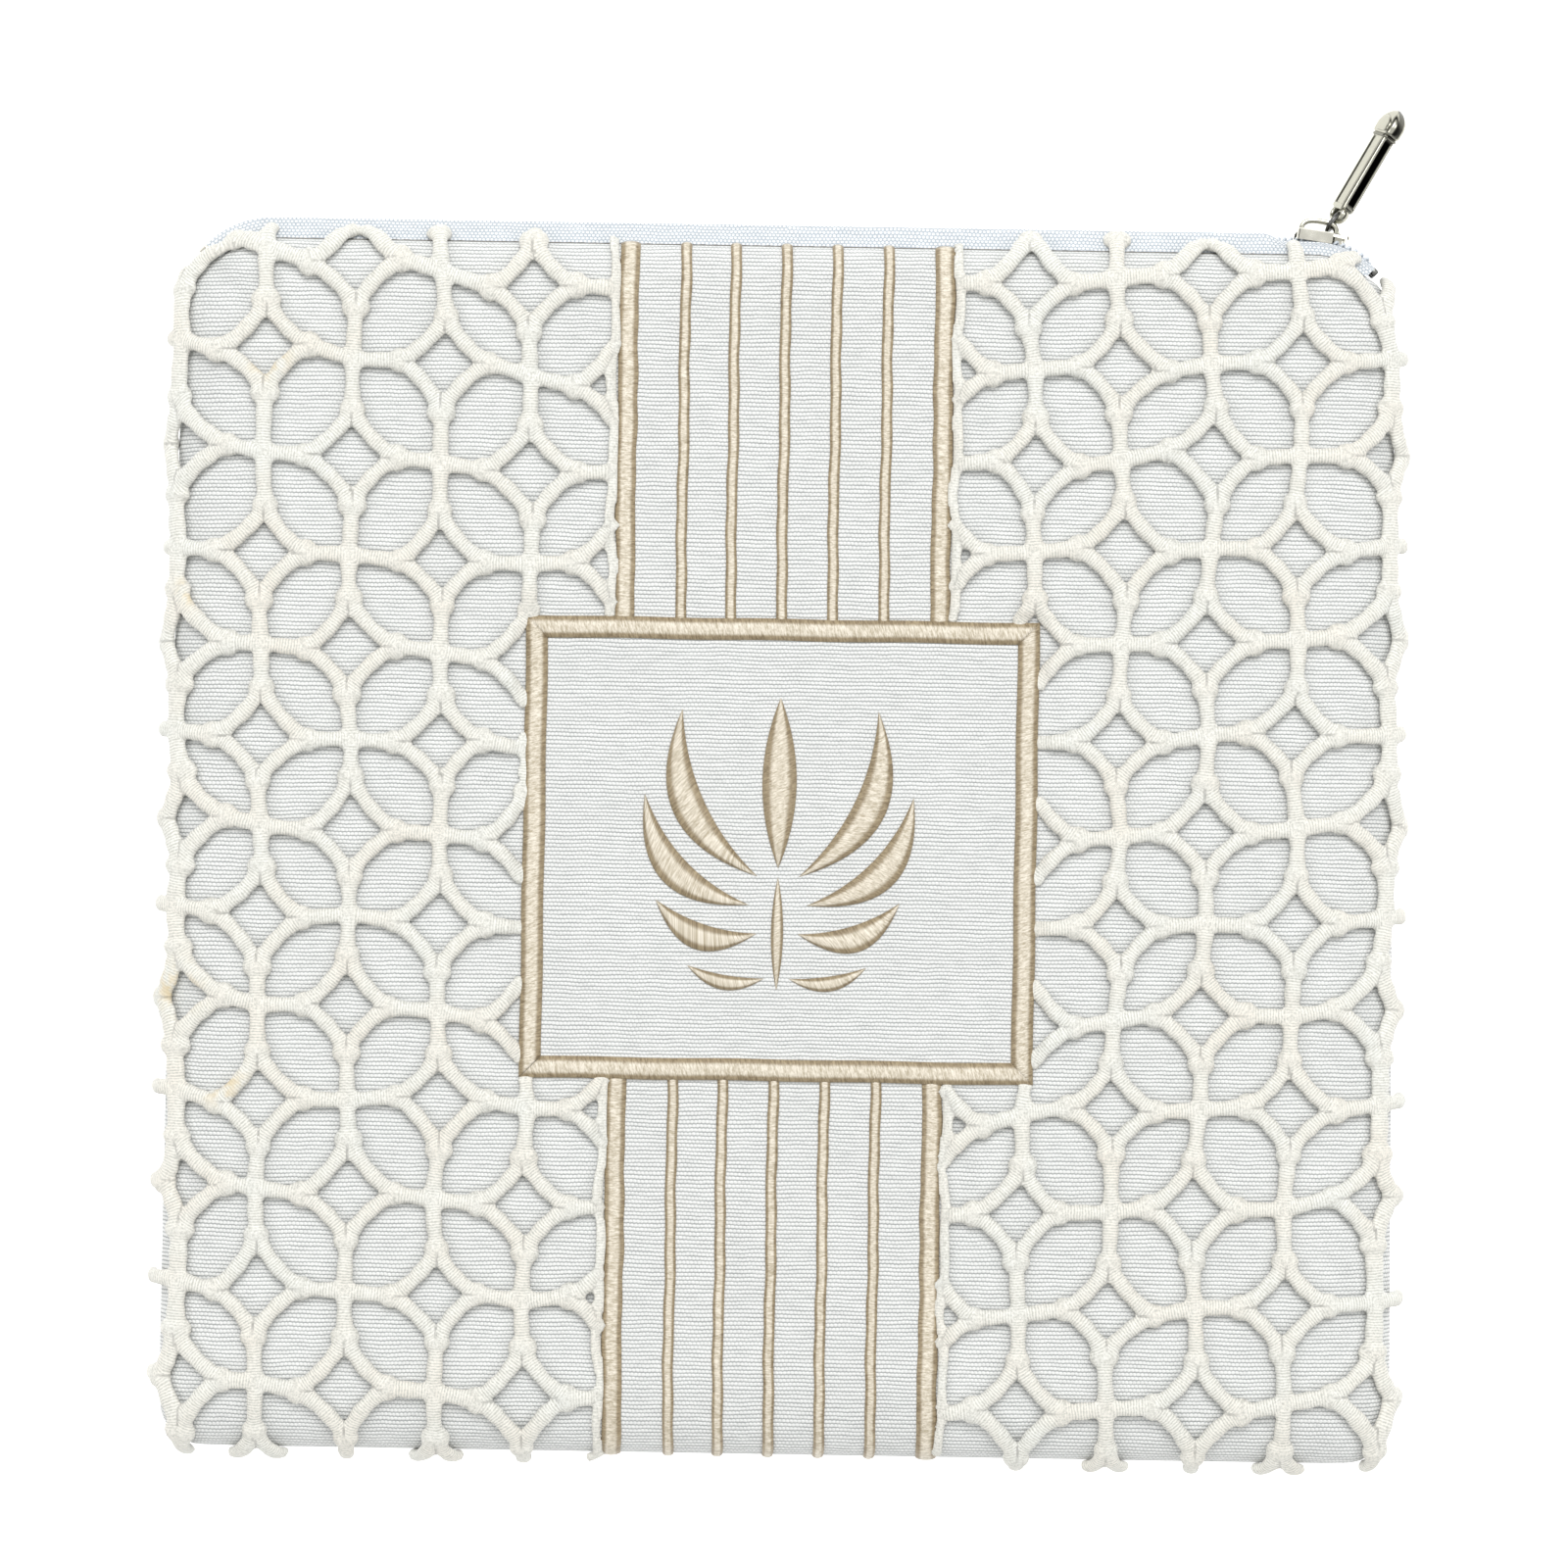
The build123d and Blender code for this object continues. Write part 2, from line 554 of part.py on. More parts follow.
def lattice(side):
    """Lace of one side: a strip from the wide stripe outwards, less its holes."""
    sign = -1 if side == "left" else 1
    stripe_edge = WIDE_STRIPES[0] - WIDE_STRIPE / 2 if sign < 0 else WIDE_STRIPES[1] + WIDE_STRIPE / 2
    pitch = LACE_ROW_PITCH[side]
    upright, mirrored, diamonds = [], [], []
    for column in range(LACE_COLUMNS):
        for row in range(-1, LACE_ROWS):
            x = LACE_CENTRE_X + sign * (LACE_FIRST_COLUMN + column * LACE_COLUMN_PITCH)
            y = LACE_TOP_ROW[side] - row * pitch
            if (column + row) % 2 == 1:
                diamonds.append((x, y))
            else:
                upright.append((x, y))
                mirrored.append((x, y))
    strip = (stripe_edge, sign * (BOTTOM_HALF_WIDTH + 5))
    with BuildSketch(mode=Mode.PRIVATE) as net:
        with Locations(((strip[0] + strip[1]) / 2, 0)):
            Rectangle(abs(strip[1] - strip[0]), 2 * (TOP_Y + 5))
        with Locations(*upright):
            add(round_hole(pitch, 1), mode=Mode.SUBTRACT)
        with Locations(*mirrored):
            add(round_hole(pitch, -1), mode=Mode.SUBTRACT)
        with Locations(*diamonds):
            add(diamond_hole(), mode=Mode.SUBTRACT)
        with Locations(plaque_centre):
            Rectangle(*plaque_size, mode=Mode.SUBTRACT)
        with Locations((0, TOP_Y)):
            Rectangle(4 * TOP_HALF_WIDTH, 20, align=(Align.CENTER, Align.MIN), mode=Mode.SUBTRACT)
    return net.sketch


with BuildPart() as lace_left:
    add(skin(LACE_HEIGHT, lattice("left"), MID_Z + 1))
lace_left.part.label = "lace_left"
export_step(lace_left.part, "parts/lace_left.step")

with BuildPart() as lace_right:
    add(skin(LACE_HEIGHT, lattice("right"), MID_Z + 1))
lace_right.part.label = "lace_right"
export_step(lace_right.part, "parts/lace_right.step")
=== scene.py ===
"""Looks of the zipped, padded pouch: cloth, lace, gold stitching, zip and metal.

Lengths are in millimetres until a mesh is made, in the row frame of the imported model.
"""
import json
import math

import bpy
import numpy as np
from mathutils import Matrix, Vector, kdtree
from mathutils.geometry import delaunay_2d_cdt


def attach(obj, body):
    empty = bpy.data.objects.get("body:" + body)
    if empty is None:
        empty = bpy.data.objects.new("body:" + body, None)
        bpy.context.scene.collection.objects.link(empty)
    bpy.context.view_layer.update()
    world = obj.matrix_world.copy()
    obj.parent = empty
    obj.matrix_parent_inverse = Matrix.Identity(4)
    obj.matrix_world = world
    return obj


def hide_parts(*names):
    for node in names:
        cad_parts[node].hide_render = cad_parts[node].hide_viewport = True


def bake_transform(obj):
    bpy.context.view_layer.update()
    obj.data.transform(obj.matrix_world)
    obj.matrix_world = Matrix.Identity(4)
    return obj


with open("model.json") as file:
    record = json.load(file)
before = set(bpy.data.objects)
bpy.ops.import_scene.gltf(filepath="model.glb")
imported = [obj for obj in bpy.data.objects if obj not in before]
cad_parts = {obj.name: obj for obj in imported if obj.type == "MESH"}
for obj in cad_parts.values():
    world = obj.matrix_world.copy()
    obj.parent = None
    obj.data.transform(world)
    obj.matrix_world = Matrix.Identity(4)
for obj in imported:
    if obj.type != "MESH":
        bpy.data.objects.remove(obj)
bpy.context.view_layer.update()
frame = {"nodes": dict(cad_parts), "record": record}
rng = np.random.default_rng(7)
MM = 0.001

# ---- dimensions, as in the CAD part
TOP_Y, BOTTOM_Y = 149.0, -150.0
TOP_HALF_WIDTH, BOTTOM_HALF_WIDTH = 148.0, 151.0
TOP_RADIUS, BOTTOM_RADIUS = 20.0, 10.0
MID_Z = 11.5
SEAM_GAP = 0.3
CLOTH, WADDING, LINING = 1.0, 2.5, 0.6
SPLIT_X = -1.5               # the front's left and right halves meet under the middle stripe
GUSSET_ARC = 45
TAPE, TAPE_OUT, TAPE_STRAIGHT, TAPE_BULGE, TAPE_SLANT = 0.6, 1.6, 5.3, 2.0, 5.6
BESIDE_SLIDER_X = (116.0, 141.0)      # where the tape lies flat, to clear the slider
COIL_HALF, COIL_HEIGHT, COIL_PITCH, COIL_PARTED, PARTED_FROM_X = 2.3, 1.7, 1.5, 1.4, 133.0
LACE_CENTRE_X, LACE_FIRST_COLUMN, LACE_COLUMN_PITCH = -1.2, 39.9, 21.9
LACE_COLUMNS, LACE_ROWS = 6, 15
LACE_TOP_ROW = {-1: 141.7, 1: 144.5}
LACE_ROW_PITCH = {-1: 22.7, 1: 23.05}
DIAMOND_HALF_WIDTH, DIAMOND_HALF_HEIGHT, DIAMOND_SAGITTA = 11.1, 11.8, 1.25
STRIPE_HEIGHT = 0.9
WIDE_STRIPES, WIDE_STRIPE = (-40.1, 37.5), 4.9
NARROW_STRIPES, NARROW_STRIPE = (-26.2, -14.0, -1.5, 11.0, 23.6), 2.7
PLAQUE_X, PLAQUE_Y = (-64.0, 62.1), (-58.2, 55.3)
PLAQUE_BORDER, PATCH, BORDER_HEIGHT, MOTIF_HEIGHT = 5.4, 0.5, 1.3, 1.4

# Soft shape of the cloth
FRONT_Z = 23.0               # front face near its edges
CROWN = 0.8                  # extra height of the padding in the middle
SIDE_SHOULDER, TOP_SHOULDER = 22.0, 12.0    # how far in the cloth reaches its full height
SIDE_LIP_Z, TOP_LIP_Z = MID_Z + SEAM_GAP / 2, 19.4
TOP_LIP_INSET = 1.8
SHOULDER_POWER = 2.3
GROOVE, GROOVE_SPREAD = 0.8, 1.2            # depth of the side seam, and the square of its width
BULGE = {-1: (3.3, 1.9), 1: (1.4, 1.9)}      # how far the sides swell out, at the top and bottom
BOTTOM_BULGE, BULGE_REACH = 1.6, 20.0
GUSSET_TO, GUSSET_FADE = 38, 16              # degrees from the top where the gusset starts to fade out
DOME_HALF = 152.0                            # where the crown of the padding comes down to nothing

taper = math.atan2(BOTTOM_HALF_WIDTH - TOP_HALF_WIDTH, TOP_Y - BOTTOM_Y)
COS_T, SIN_T = math.cos(taper), math.sin(taper)


# ---- helpers
def ease(t):
    t = np.clip(t, 0, 1)
    return t * t * (3 - 2 * t)


def lerp(low, high, share):
    return low + (high - low) * share


def unit(rows):
    """Each row at length one."""
    return rows / np.maximum(np.linalg.norm(rows, axis=1), 1e-9)[:, None]


def travel(line):
    """How far along a line each of its points is."""
    return np.concatenate([[0], np.cumsum(np.linalg.norm(np.diff(line, axis=0), axis=1))])


def resample(at, known, line):
    """A flat line whose points are known at some values, at other values."""
    return np.column_stack([np.interp(at, known, line[:, k]) for k in (0, 1)])


def circle(count):
    """Angles evenly round a circle."""
    return np.arange(count) / count * 2 * math.pi


def sleeve(rows, ring, around=True):
    """Faces over rows of points, each row closed to a ring unless around is false."""
    side = [(k, (k + 1) % ring) for k in range(ring if around else ring - 1)]
    return [(i + a, i + b, i + ring + b, i + ring + a) for i in range(0, (rows - 1) * ring, ring)
            for a, b in side]


def capped(rows, ring):
    """A sleeve with a flat face at each end."""
    last = (rows - 1) * ring
    return sleeve(rows, ring) + [tuple(range(ring))[::-1], tuple(range(last, last + ring))]


def pointed(rows, ring):
    """A sleeve closed at each end by one of the two points that follow it."""
    last, start, end = (rows - 1) * ring, rows * ring, rows * ring + 1
    return (sleeve(rows, ring) + [(start, (k + 1) % ring, k) for k in range(ring)]
            + [(end, last + k, last + (k + 1) % ring) for k in range(ring)])


def turned(faces):
    """The same faces seen from behind, each from its own first point."""
    return [f[:1] + f[:0:-1] for f in faces]


# ---- shape of the cloth
def side_x(y):
    return TOP_HALF_WIDTH + (TOP_Y - y) * math.tan(taper)


def inner_centre(way, distance):
    """Point at one distance from the right side and from the top (1) or bottom (-1) edge."""
    y = TOP_Y - distance if way > 0 else BOTTOM_Y + distance
    return np.array([side_x(y) - distance / COS_T, y])


class Corner:
    """Rounded corner of the outline, seen from a turning point farther in than its own centre."""
    TURN = 26.0

    def __init__(self, way, radius):
        self.way, self.radius = way, radius
        self.centre = inner_centre(way, radius)
        self.pivot = inner_centre(way, self.TURN)

    def inside(self, v):
        return (v[:, 0] > 0) & (self.way * (v @ np.array([-SIN_T, COS_T])) > 0)

    def reach(self, u):
        """Distance from the turning point to the outline in the directions u."""
        side = np.maximum(u @ np.array([COS_T, SIN_T]), 1e-6)
        end = np.maximum(self.way * u[:, 1], 1e-6)
        straight = self.TURN / np.maximum(side, end)
        towards = u @ (self.centre - self.pivot)
        span = np.sum((self.centre - self.pivot) ** 2)
        arc = towards + np.sqrt(np.maximum(towards ** 2 - span + self.radius ** 2, 0))
        hit = self.pivot + arc[:, None] * u - self.centre
        return np.where(self.inside(hit), arc, straight)


TOP_CORNER, BOTTOM_CORNER = Corner(1, TOP_RADIUS), Corner(-1, BOTTOM_RADIUS)


def edge(q):
    """Distance inside the cloth's outline and outward normal, for points q of the pattern."""
    x, y = np.abs(q[:, 0]), q[:, 1]
    distances = np.stack([(side_x(0) - x) * COS_T - y * SIN_T, TOP_Y - y, y - BOTTOM_Y])
    normals = np.array([[COS_T, SIN_T], [0, 1], [0, -1]])
    nearest = distances.argmin(0)
    distance, normal = distances.min(0), normals[nearest]
    for corner in (TOP_CORNER, BOTTOM_CORNER):
        v = np.stack([x, y], 1) - corner.pivot
        inside = corner.inside(v)
        length = np.maximum(np.linalg.norm(v, axis=1), 1e-9)
        u = v / length[:, None]
        distance = np.where(inside, corner.reach(u) - length, distance)
        normal = np.where(inside[:, None], u, normal)
    return distance, normal * np.stack([np.where(q[:, 0] < 0, -1, 1), np.ones(len(q))], 1)


def gusset_share(normal):
    """1 where the cloth ends at the zip's gusset, 0 where it meets the other half at a seam."""
    angle = np.degrees(np.arccos(np.clip(normal[:, 1], -1, 1)))
    return 1 - ease((angle - GUSSET_TO) / GUSSET_FADE)


def rise(s):
    return (1 - (1 - np.clip(s, 0, 1)) ** SHOULDER_POWER) ** (1 / SHOULDER_POWER)


class Level:
    """Profile of the cloth's rounded edge for one share of gusset: depth along the cloth."""

    def __init__(self, share):
        s = np.linspace(0, 1, 120) ** 1.8         # closer together where the edge is steep
        lip = lerp(0, TOP_LIP_INSET, share)
        self.inset = lip + s * (lerp(SIDE_SHOULDER, TOP_SHOULDER, share) - lip)
        z = rise(s) * (FRONT_Z - lerp(SIDE_LIP_Z, TOP_LIP_Z, share))
        self.depth = np.concatenate([[0], np.cumsum(np.hypot(np.diff(self.inset), np.diff(z)))])
        self.reach = self.depth[-1]
        self.extra = self.reach - self.inset[-1]


LEVELS = [Level(share) for share in np.linspace(0, 1, 9)]
REACH = [level.reach for level in LEVELS]
EXTRA = [level.extra for level in LEVELS]
FOLD = (0.71, 0.70)          # direction of the lace that folds over the lip: out and down


def by_share(values, share):
    return np.interp(share * (len(values) - 1), np.arange(len(values)), values)


def crown(x, y):
    """Height of the padded front away from its edges."""
    dome = CROWN * (1 - (x / DOME_HALF) ** 2) * (1 - (y / DOME_HALF) ** 2)
    ripple = 0.22 * np.sin(x / 17 + 1.3) * np.sin(y / 23 + 0.4) + 0.14 * np.sin(x / 9.1 + y / 13 + 2)
    return FRONT_Z + dome + ripple


def depth_at(q):
    """How far points are from the lip along the cloth, with their outward normal and gusset share."""
    distance, normal = edge(q)
    share = gusset_share(normal)
    return distance + by_share(EXTRA, share), normal, share


def surface(q, back=False):
    """Place in space of the pattern's points on the outside of the front or back cloth."""
    distance, normal = edge(q)
    share = gusset_share(normal)
    inset, over = np.zeros(len(q)), np.zeros(len(q))
    for i, level in enumerate(LEVELS):
        weight = np.clip(1 - np.abs(share * (len(LEVELS) - 1) - i), 0, 1)
        depth = distance + level.extra
        inset += weight * (np.interp(depth, level.depth, level.inset)
                           + np.maximum(0, depth - level.reach))
        over += weight * np.minimum(0, depth)
    lip_inset = lerp(0, TOP_LIP_INSET, share)
    lip_z = lerp(SIDE_LIP_Z, TOP_LIP_Z, share)
    s = (inset - lip_inset) / (lerp(SIDE_SHOULDER, TOP_SHOULDER, share) - lip_inset)
    depth = distance + by_share(EXTRA, share)
    groove = (1 - share) * GROOVE * np.exp(-np.maximum(depth, 0) ** 2 / GROOVE_SPREAD)
    height = np.clip((q[:, 1] - BOTTOM_Y) / (TOP_Y - BOTTOM_Y), 0, 1)
    left, right = (lerp(BULGE[side][1], BULGE[side][0], height) for side in (-1, 1))
    swell = np.where(q[:, 0] < 0, left, right)
    swell = swell * np.abs(normal[:, 0]) ** 2 + BOTTOM_BULGE * np.minimum(normal[:, 1], 0) ** 2
    swell = swell * (1 - share) * (1 - ease(depth / BULGE_REACH))
    xy = q + normal * (distance - inset - groove - over * FOLD[0] + swell)[:, None]
    if back:
        lip_z = 2 * MID_Z - lip_z
        z = lip_z * (1 - rise(s))
    else:
        z = lip_z + (crown(xy[:, 0], xy[:, 1]) - lip_z) * rise(s)
        z += over * FOLD[1]
    return np.column_stack([xy, z])


def place(q, height, back=False):
    """Points of the pattern lifted off the cloth by a height along its normal."""
    step = 0.5
    across = surface(q + [step, 0], back) - surface(q - [step, 0], back)
    up = surface(q + [0, step], back) - surface(q - [0, step], back)
    normal = unit(np.cross(across, up)) * (-1 if back else 1)
    return surface(q, back) + normal * np.broadcast_to(height, len(q))[:, None]


def half_outline(side, step):
    """Outline points and normals of one half, from the bottom middle to the top middle."""
    def run(start, end, normal):
        n = max(2, int(np.linalg.norm(np.subtract(end, start)) / step))
        points = np.linspace(start, end, n, endpoint=False)
        return points, np.tile(normal, (n, 1))

    def turn(corner, start, end):
        n = int(corner.TURN * abs(end - start) / (step * 0.6))      # closer together round a corner
        angle = np.linspace(start, end, n, endpoint=False)
        u = np.column_stack([np.cos(angle), np.sin(angle)])
        return (corner.pivot + corner.reach(u)[:, None] * u) * mirror, u * mirror

    mirror = np.array([side, 1])
    normal = np.array([COS_T, SIN_T])
    parts = [run((SPLIT_X, BOTTOM_Y), (side * BOTTOM_CORNER.pivot[0], BOTTOM_Y), (0, -1)),
             turn(BOTTOM_CORNER, -math.pi / 2, taper),
             run((BOTTOM_CORNER.pivot + BOTTOM_CORNER.TURN * normal) * mirror,
                 (TOP_CORNER.pivot + TOP_CORNER.TURN * normal) * mirror, normal * mirror),
             turn(TOP_CORNER, taper, math.pi / 2),
             run((side * TOP_CORNER.pivot[0], TOP_Y), (SPLIT_X, TOP_Y), (0, 1))]
    return (np.concatenate([p for p, _ in parts]), np.concatenate([n for _, n in parts]))


def pattern(start_depth, rings, step):
    """Flat pattern of the whole cloth: points, and faces anticlockwise from above."""
    right, right_normal = half_outline(1, step)
    left, left_normal = half_outline(-1, step)
    outline = np.concatenate([right, [[SPLIT_X, TOP_Y]], left[:0:-1]])
    normal = np.concatenate([right_normal, [[0, 1]], left_normal[:0:-1]])
    share = gusset_share(normal)
    extra, reach = by_share(EXTRA, share), by_share(REACH, share)
    n = len(outline)
    points = [outline - normal * (start_depth + (reach - start_depth) * k / rings - extra)[:, None]
              for k in range(rings + 1)]
    faces = sleeve(rings + 1, n)
    inner = points[-1]
    bottom, top = 0, len(right)
    spine_y = np.arange(inner[bottom, 1] + step, inner[top, 1] - step / 2, step)
    spine = np.column_stack([np.full(len(spine_y), SPLIT_X), spine_y])
    grid = np.array([(x + (row % 2) * step / 2, y)
                     for row, y in enumerate(np.arange(BOTTOM_Y, TOP_Y, step * 0.87))
                     for x in np.arange(-BOTTOM_HALF_WIDTH, BOTTOM_HALF_WIDTH, step)])
    grid = grid[np.abs(grid[:, 0] - SPLIT_X) > step * 0.45]
    distance, grid_normal = edge(grid)
    shoulder = lerp(SIDE_SHOULDER, TOP_SHOULDER, gusset_share(grid_normal))
    grid = grid[distance > shoulder + step * 0.6]
    flat = np.concatenate([inner, spine, grid])
    column = [bottom] + list(range(n, n + len(spine))) + [top]
    edges = [(i, (i + 1) % n) for i in range(n)] + list(zip(column, column[1:]))
    out, _, filled, origin, _, _ = delaunay_2d_cdt(
        [Vector(p) for p in flat.tolist()], edges, [], 1, 1e-7)
    lookup, added = [], []
    for i, sources in enumerate(origin):
        if sources:
            lookup.append(rings * n + sources[0])
        else:
            lookup.append((rings + 1) * n + len(spine) + len(grid) + len(added))
            added.append(out[i][:])
    points = np.concatenate(points + [spine, grid] + ([np.array(added)] if added else []))
    faces += [tuple(lookup[i] for i in face) for face in filled]
    return points, faces


def half_of(points, faces, side):
    """The part of a pattern left or right of the split, with its own point numbers."""
    chosen = [f for f in faces if side * (np.mean([points[i][0] for i in f]) - SPLIT_X) > 0]
    used = sorted({i for f in chosen for i in f})
    number = {old: new for new, old in enumerate(used)}
    return points[used], [tuple(number[i] for i in f) for f in chosen]


def closed(outer, inner, faces):
    """One closed body from two layers with the same faces."""
    n = len(outer)
    directed = {(a, b) for f in faces for a, b in zip(f, f[1:] + f[:1])}
    rim = [(a, b) for a, b in directed if (b, a) not in directed]
    body = list(faces) + [tuple(i + n for i in reversed(f)) for f in faces]
    return np.concatenate([outer, inner]), body + [(b, a, a + n, b + n) for a, b in sorted(rim)]


def in_scene(name, data):
    made = bpy.data.objects.new(name, data)
    bpy.context.scene.collection.objects.link(made)
    return made


def piece(name, points, faces, material, **attributes):
    """A mesh object from points in millimetres, with named values at its points."""
    mesh = bpy.data.meshes.new(name)
    mesh.from_pydata((np.asarray(points) * MM).tolist(), [], faces)
    for key, values in attributes.items():
        values = np.asarray(values, np.float32)
        kind, field = ("FLOAT", "value") if values.ndim == 1 else ("FLOAT_VECTOR", "vector")
        mesh.attributes.new(key, kind, "POINT").data.foreach_set(field, values.ravel())
    mesh.shade_smooth()
    mesh.materials.append(material)
    mesh.update()
    return in_scene(name, mesh)


def on_cloth(q):
    """The pattern's points as the weave's place, for both layers of a closed body."""
    return np.tile(np.column_stack([q, np.zeros(len(q))]), (2, 1))


# ---- materials
def srgb(r, g, b):
    return [((c / 255 + 0.055) / 1.055) ** 2.4 if c > 10 else c / 255 / 12.92 for c in (r, g, b)] + [1]


class Nodes:
    """Short way to build a material's node tree."""

    def __init__(self, name, colour, roughness, metallic=0.0, sheen=0.0):
        self.material = bpy.data.materials.new(name)
        self.material.use_nodes = True
        self.tree = self.material.node_tree
        self.shader = self.tree.nodes["Principled BSDF"]
        for key, value in (("Base Color", colour), ("Roughness", roughness),
                           ("Metallic", metallic), ("Sheen Weight", sheen)):
            self.shader.inputs[key].default_value = value

    def add(self, kind, inputs=(), out=0, **settings):
        node = self.tree.nodes.new("ShaderNode" + kind)
        for key, value in settings.items():
            setattr(node, key, value)
        for key, value in dict(inputs).items():
            if isinstance(value, bpy.types.NodeSocket):
                self.tree.links.new(value, node.inputs[key])
            else:
                node.inputs[key].default_value = value
        return node.outputs[out]

    def maths(self, operation, *values):
        return self.add("Math", dict(enumerate(values)), operation=operation)

    def plus(self, a, b):
        return self.maths("ADD", a, b)

    def times(self, a, b):
        return self.maths("MULTIPLY", a, b)

    def split(self, vector):
        return self.add("SeparateXYZ", {0: vector}).node.outputs

    def where(self):
        return self.add("TexCoord", out="Object")

    def attribute(self, name, vector=False):
        return self.add("Attribute", attribute_name=name, out="Vector" if vector else "Fac")

    def noise(self, vector, scale, detail=2.0, roughness=0.5, out="Fac"):
        return self.add("TexNoise", {"Vector": vector, "Scale": scale, "Detail": detail,
                                     "Roughness": roughness}, out=out)

    def scaled(self, vector, x, y):
        return self.add("VectorMath", {0: vector, 1: (x, y, 1.0)}, operation="MULTIPLY")

    def span(self, value, low, high, to_low=0.0, to_high=1.0, smooth=False):
        return self.add("MapRange", {"Value": value, "From Min": low, "From Max": high,
                                     "To Min": to_low, "To Max": to_high},
                        interpolation_type="SMOOTHSTEP" if smooth else "LINEAR")

    def mix(self, share, a, b):
        """Colour between a and b: the Mix node's colour sockets are 6 and 7, and its output 2."""
        return self.add("Mix", {0: share, 6: a, 7: b}, out=2, data_type="RGBA")

    def bump(self, height, depth, strength=1.0):
        """Relief of a depth in millimetres."""
        return self.add("Bump", {"Height": height, "Distance": depth * MM, "Strength": strength})

    def set(self, **sockets):
        for key, value in sockets.items():
            self.tree.links.new(value, self.shader.inputs[key.replace("_", " ")])
        return self.material


def woven(name, row, dash, light, dark, depth, broken=0.5):
    """Plain weave in the millimetres of the cloth's own pattern: row and dash are its two pitches."""
    n = Nodes(name, light, 0.85, sheen=0.15)
    cloth = n.attribute("cloth", True)
    drift = n.split(n.noise(cloth, 0.09, 3.0, out="Color"))
    fine = n.split(n.noise(cloth, 1.1, 1.0, out="Color"))
    axes = n.split(cloth)
    x = n.plus(axes[0], n.times(fine[0], 0.4))
    y = n.plus(n.plus(axes[1], n.times(drift[1], 1.1)), n.times(fine[1], 0.15))
    beat = n.times(x, 2 * math.pi / dash)
    rows = n.maths("DIVIDE", y, row)
    stagger = n.times(n.maths("FLOOR", rows), math.pi)
    crest = n.maths("SINE", n.times(n.maths("FRACT", rows), math.pi))
    swell = n.span(n.maths("SINE", n.plus(beat, stagger)), -1.0, 1.0, broken, 1.0)
    weave = n.times(crest, swell)
    slub = n.noise(n.scaled(cloth, 0.16, 1.0), 1.0, 2.0)
    # The dark colour fills the low places between the threads: painted shade. The slubs shift it at
    # random.
    shade = n.plus(n.span(weave, 0.05, 0.52), n.span(slub, 0.3, 0.7, -0.12, 0.12))
    tone = n.span(n.noise(cloth, 0.03, 3.0), 0.3, 0.7, 0.0, 0.5)
    pale = n.mix(tone, light, [c * 0.93 for c in light[:3]] + [1])
    return n.set(Base_Color=n.mix(shade, dark, pale), Normal=n.bump(weave, depth))


# The second colour of each cloth is its painted shade between the threads.
canvas = woven("canvas", 0.99, 0.95, srgb(230, 231, 230), srgb(150, 153, 153), 0.2, 0.4)
lining_cloth = woven("lining_cloth", 0.45, 0.45, srgb(232, 232, 230), srgb(196, 197, 196), 0.05)
tape_cloth = woven("tape_cloth", 0.85, 1.0, srgb(239, 242, 245), srgb(168, 177, 186), 0.2, 0.1)


def fibrous(name, colour, dark, light, finish, tone, grain, relief):
    """Plain fibre: finish (roughness, sheen), two noises, and relief (depth, strength)."""
    n = Nodes(name, colour, finish[0], sheen=finish[1])
    where = n.where()
    return n.set(Base_Color=n.mix(n.noise(where, *tone), dark, light),
                 Normal=n.bump(n.noise(where, *grain), *relief))


THREAD_PITCH = 0.7           # from one turn of the lace's thread to the next


def make_lace():
    """Cotton cord wrapped with thread: fine turns across the cord, brushed and slightly uneven."""
    n = Nodes("lace_cord", srgb(236, 236, 231), 0.9, sheen=0.25)
    where = n.where()
    fuzz = n.noise(where, 1700.0, 3.0, 0.7)
    wander = n.noise(where, 420.0, 2.0)
    turns = n.plus(n.times(n.attribute("along"), 2 * math.pi / THREAD_PITCH), n.times(wander, 6.0))
    turns = n.span(n.maths("SINE", turns), -1.0, 1.0)
    thread = n.mix(n.attribute("knot"), turns, fuzz)
    height = n.plus(n.times(thread, 0.3), n.times(fuzz, 0.9))
    tone = n.span(n.noise(where, 60.0, 3.0), 0.3, 0.7)
    colour = n.mix(tone, srgb(232, 233, 228), srgb(234, 229, 219))
    # Darker where the fuzz and the turns of thread lie low: painted shade.
    colour = n.mix(n.span(height, 0.38, 0.74, 1.0, 0.0), colour, srgb(188, 188, 180))
    stain = n.times(n.attribute("stain"), n.span(n.noise(where, 260.0, 3.0), 0.45, 0.62))
    colour = n.mix(stain, colour, srgb(214, 196, 158))
    return n.set(Base_Color=colour, Normal=n.bump(height, 0.16, 0.9))


def make_gold():
    """Satin stitch: lustrous thread laid across each shape, with painted sheen along its lines, and
    darker at the edges where it turns under: tan thread with painted shade.
    """
    n = Nodes("gold_thread", srgb(226, 216, 192), 0.42, sheen=0.1)
    thread = n.attribute("thread", True)
    lines = n.noise(n.scaled(thread, 2.6, 0.55), 1.0, 2.0, 0.6)
    grain = n.noise(n.scaled(thread, 4.2, 1.6), 1.0, 2.0, 0.7)
    lay = n.plus(n.times(lines, 0.6), n.times(grain, 0.4))
    # lit: lighter and darker along the lines of thread, painted sheen on the threads and painted shade
    # between them.
    lit = n.span(lay, 0.38, 0.62)
    body = n.mix(lit, srgb(172, 160, 136), srgb(230, 222, 207))
    rim = n.mix(lit, srgb(118, 102, 76), srgb(168, 152, 123))
    # The rims darken where the thread turns under: darker tan thread together with painted shade.
    colour = n.mix(n.span(n.attribute("edge"), 0.35, 0.7, smooth=True), body, rim)
    return n.set(Base_Color=colour, Roughness=n.span(lay, 0.35, 0.65, 0.5, 0.32),
                 Normal=n.bump(lay, 0.25, 0.8))


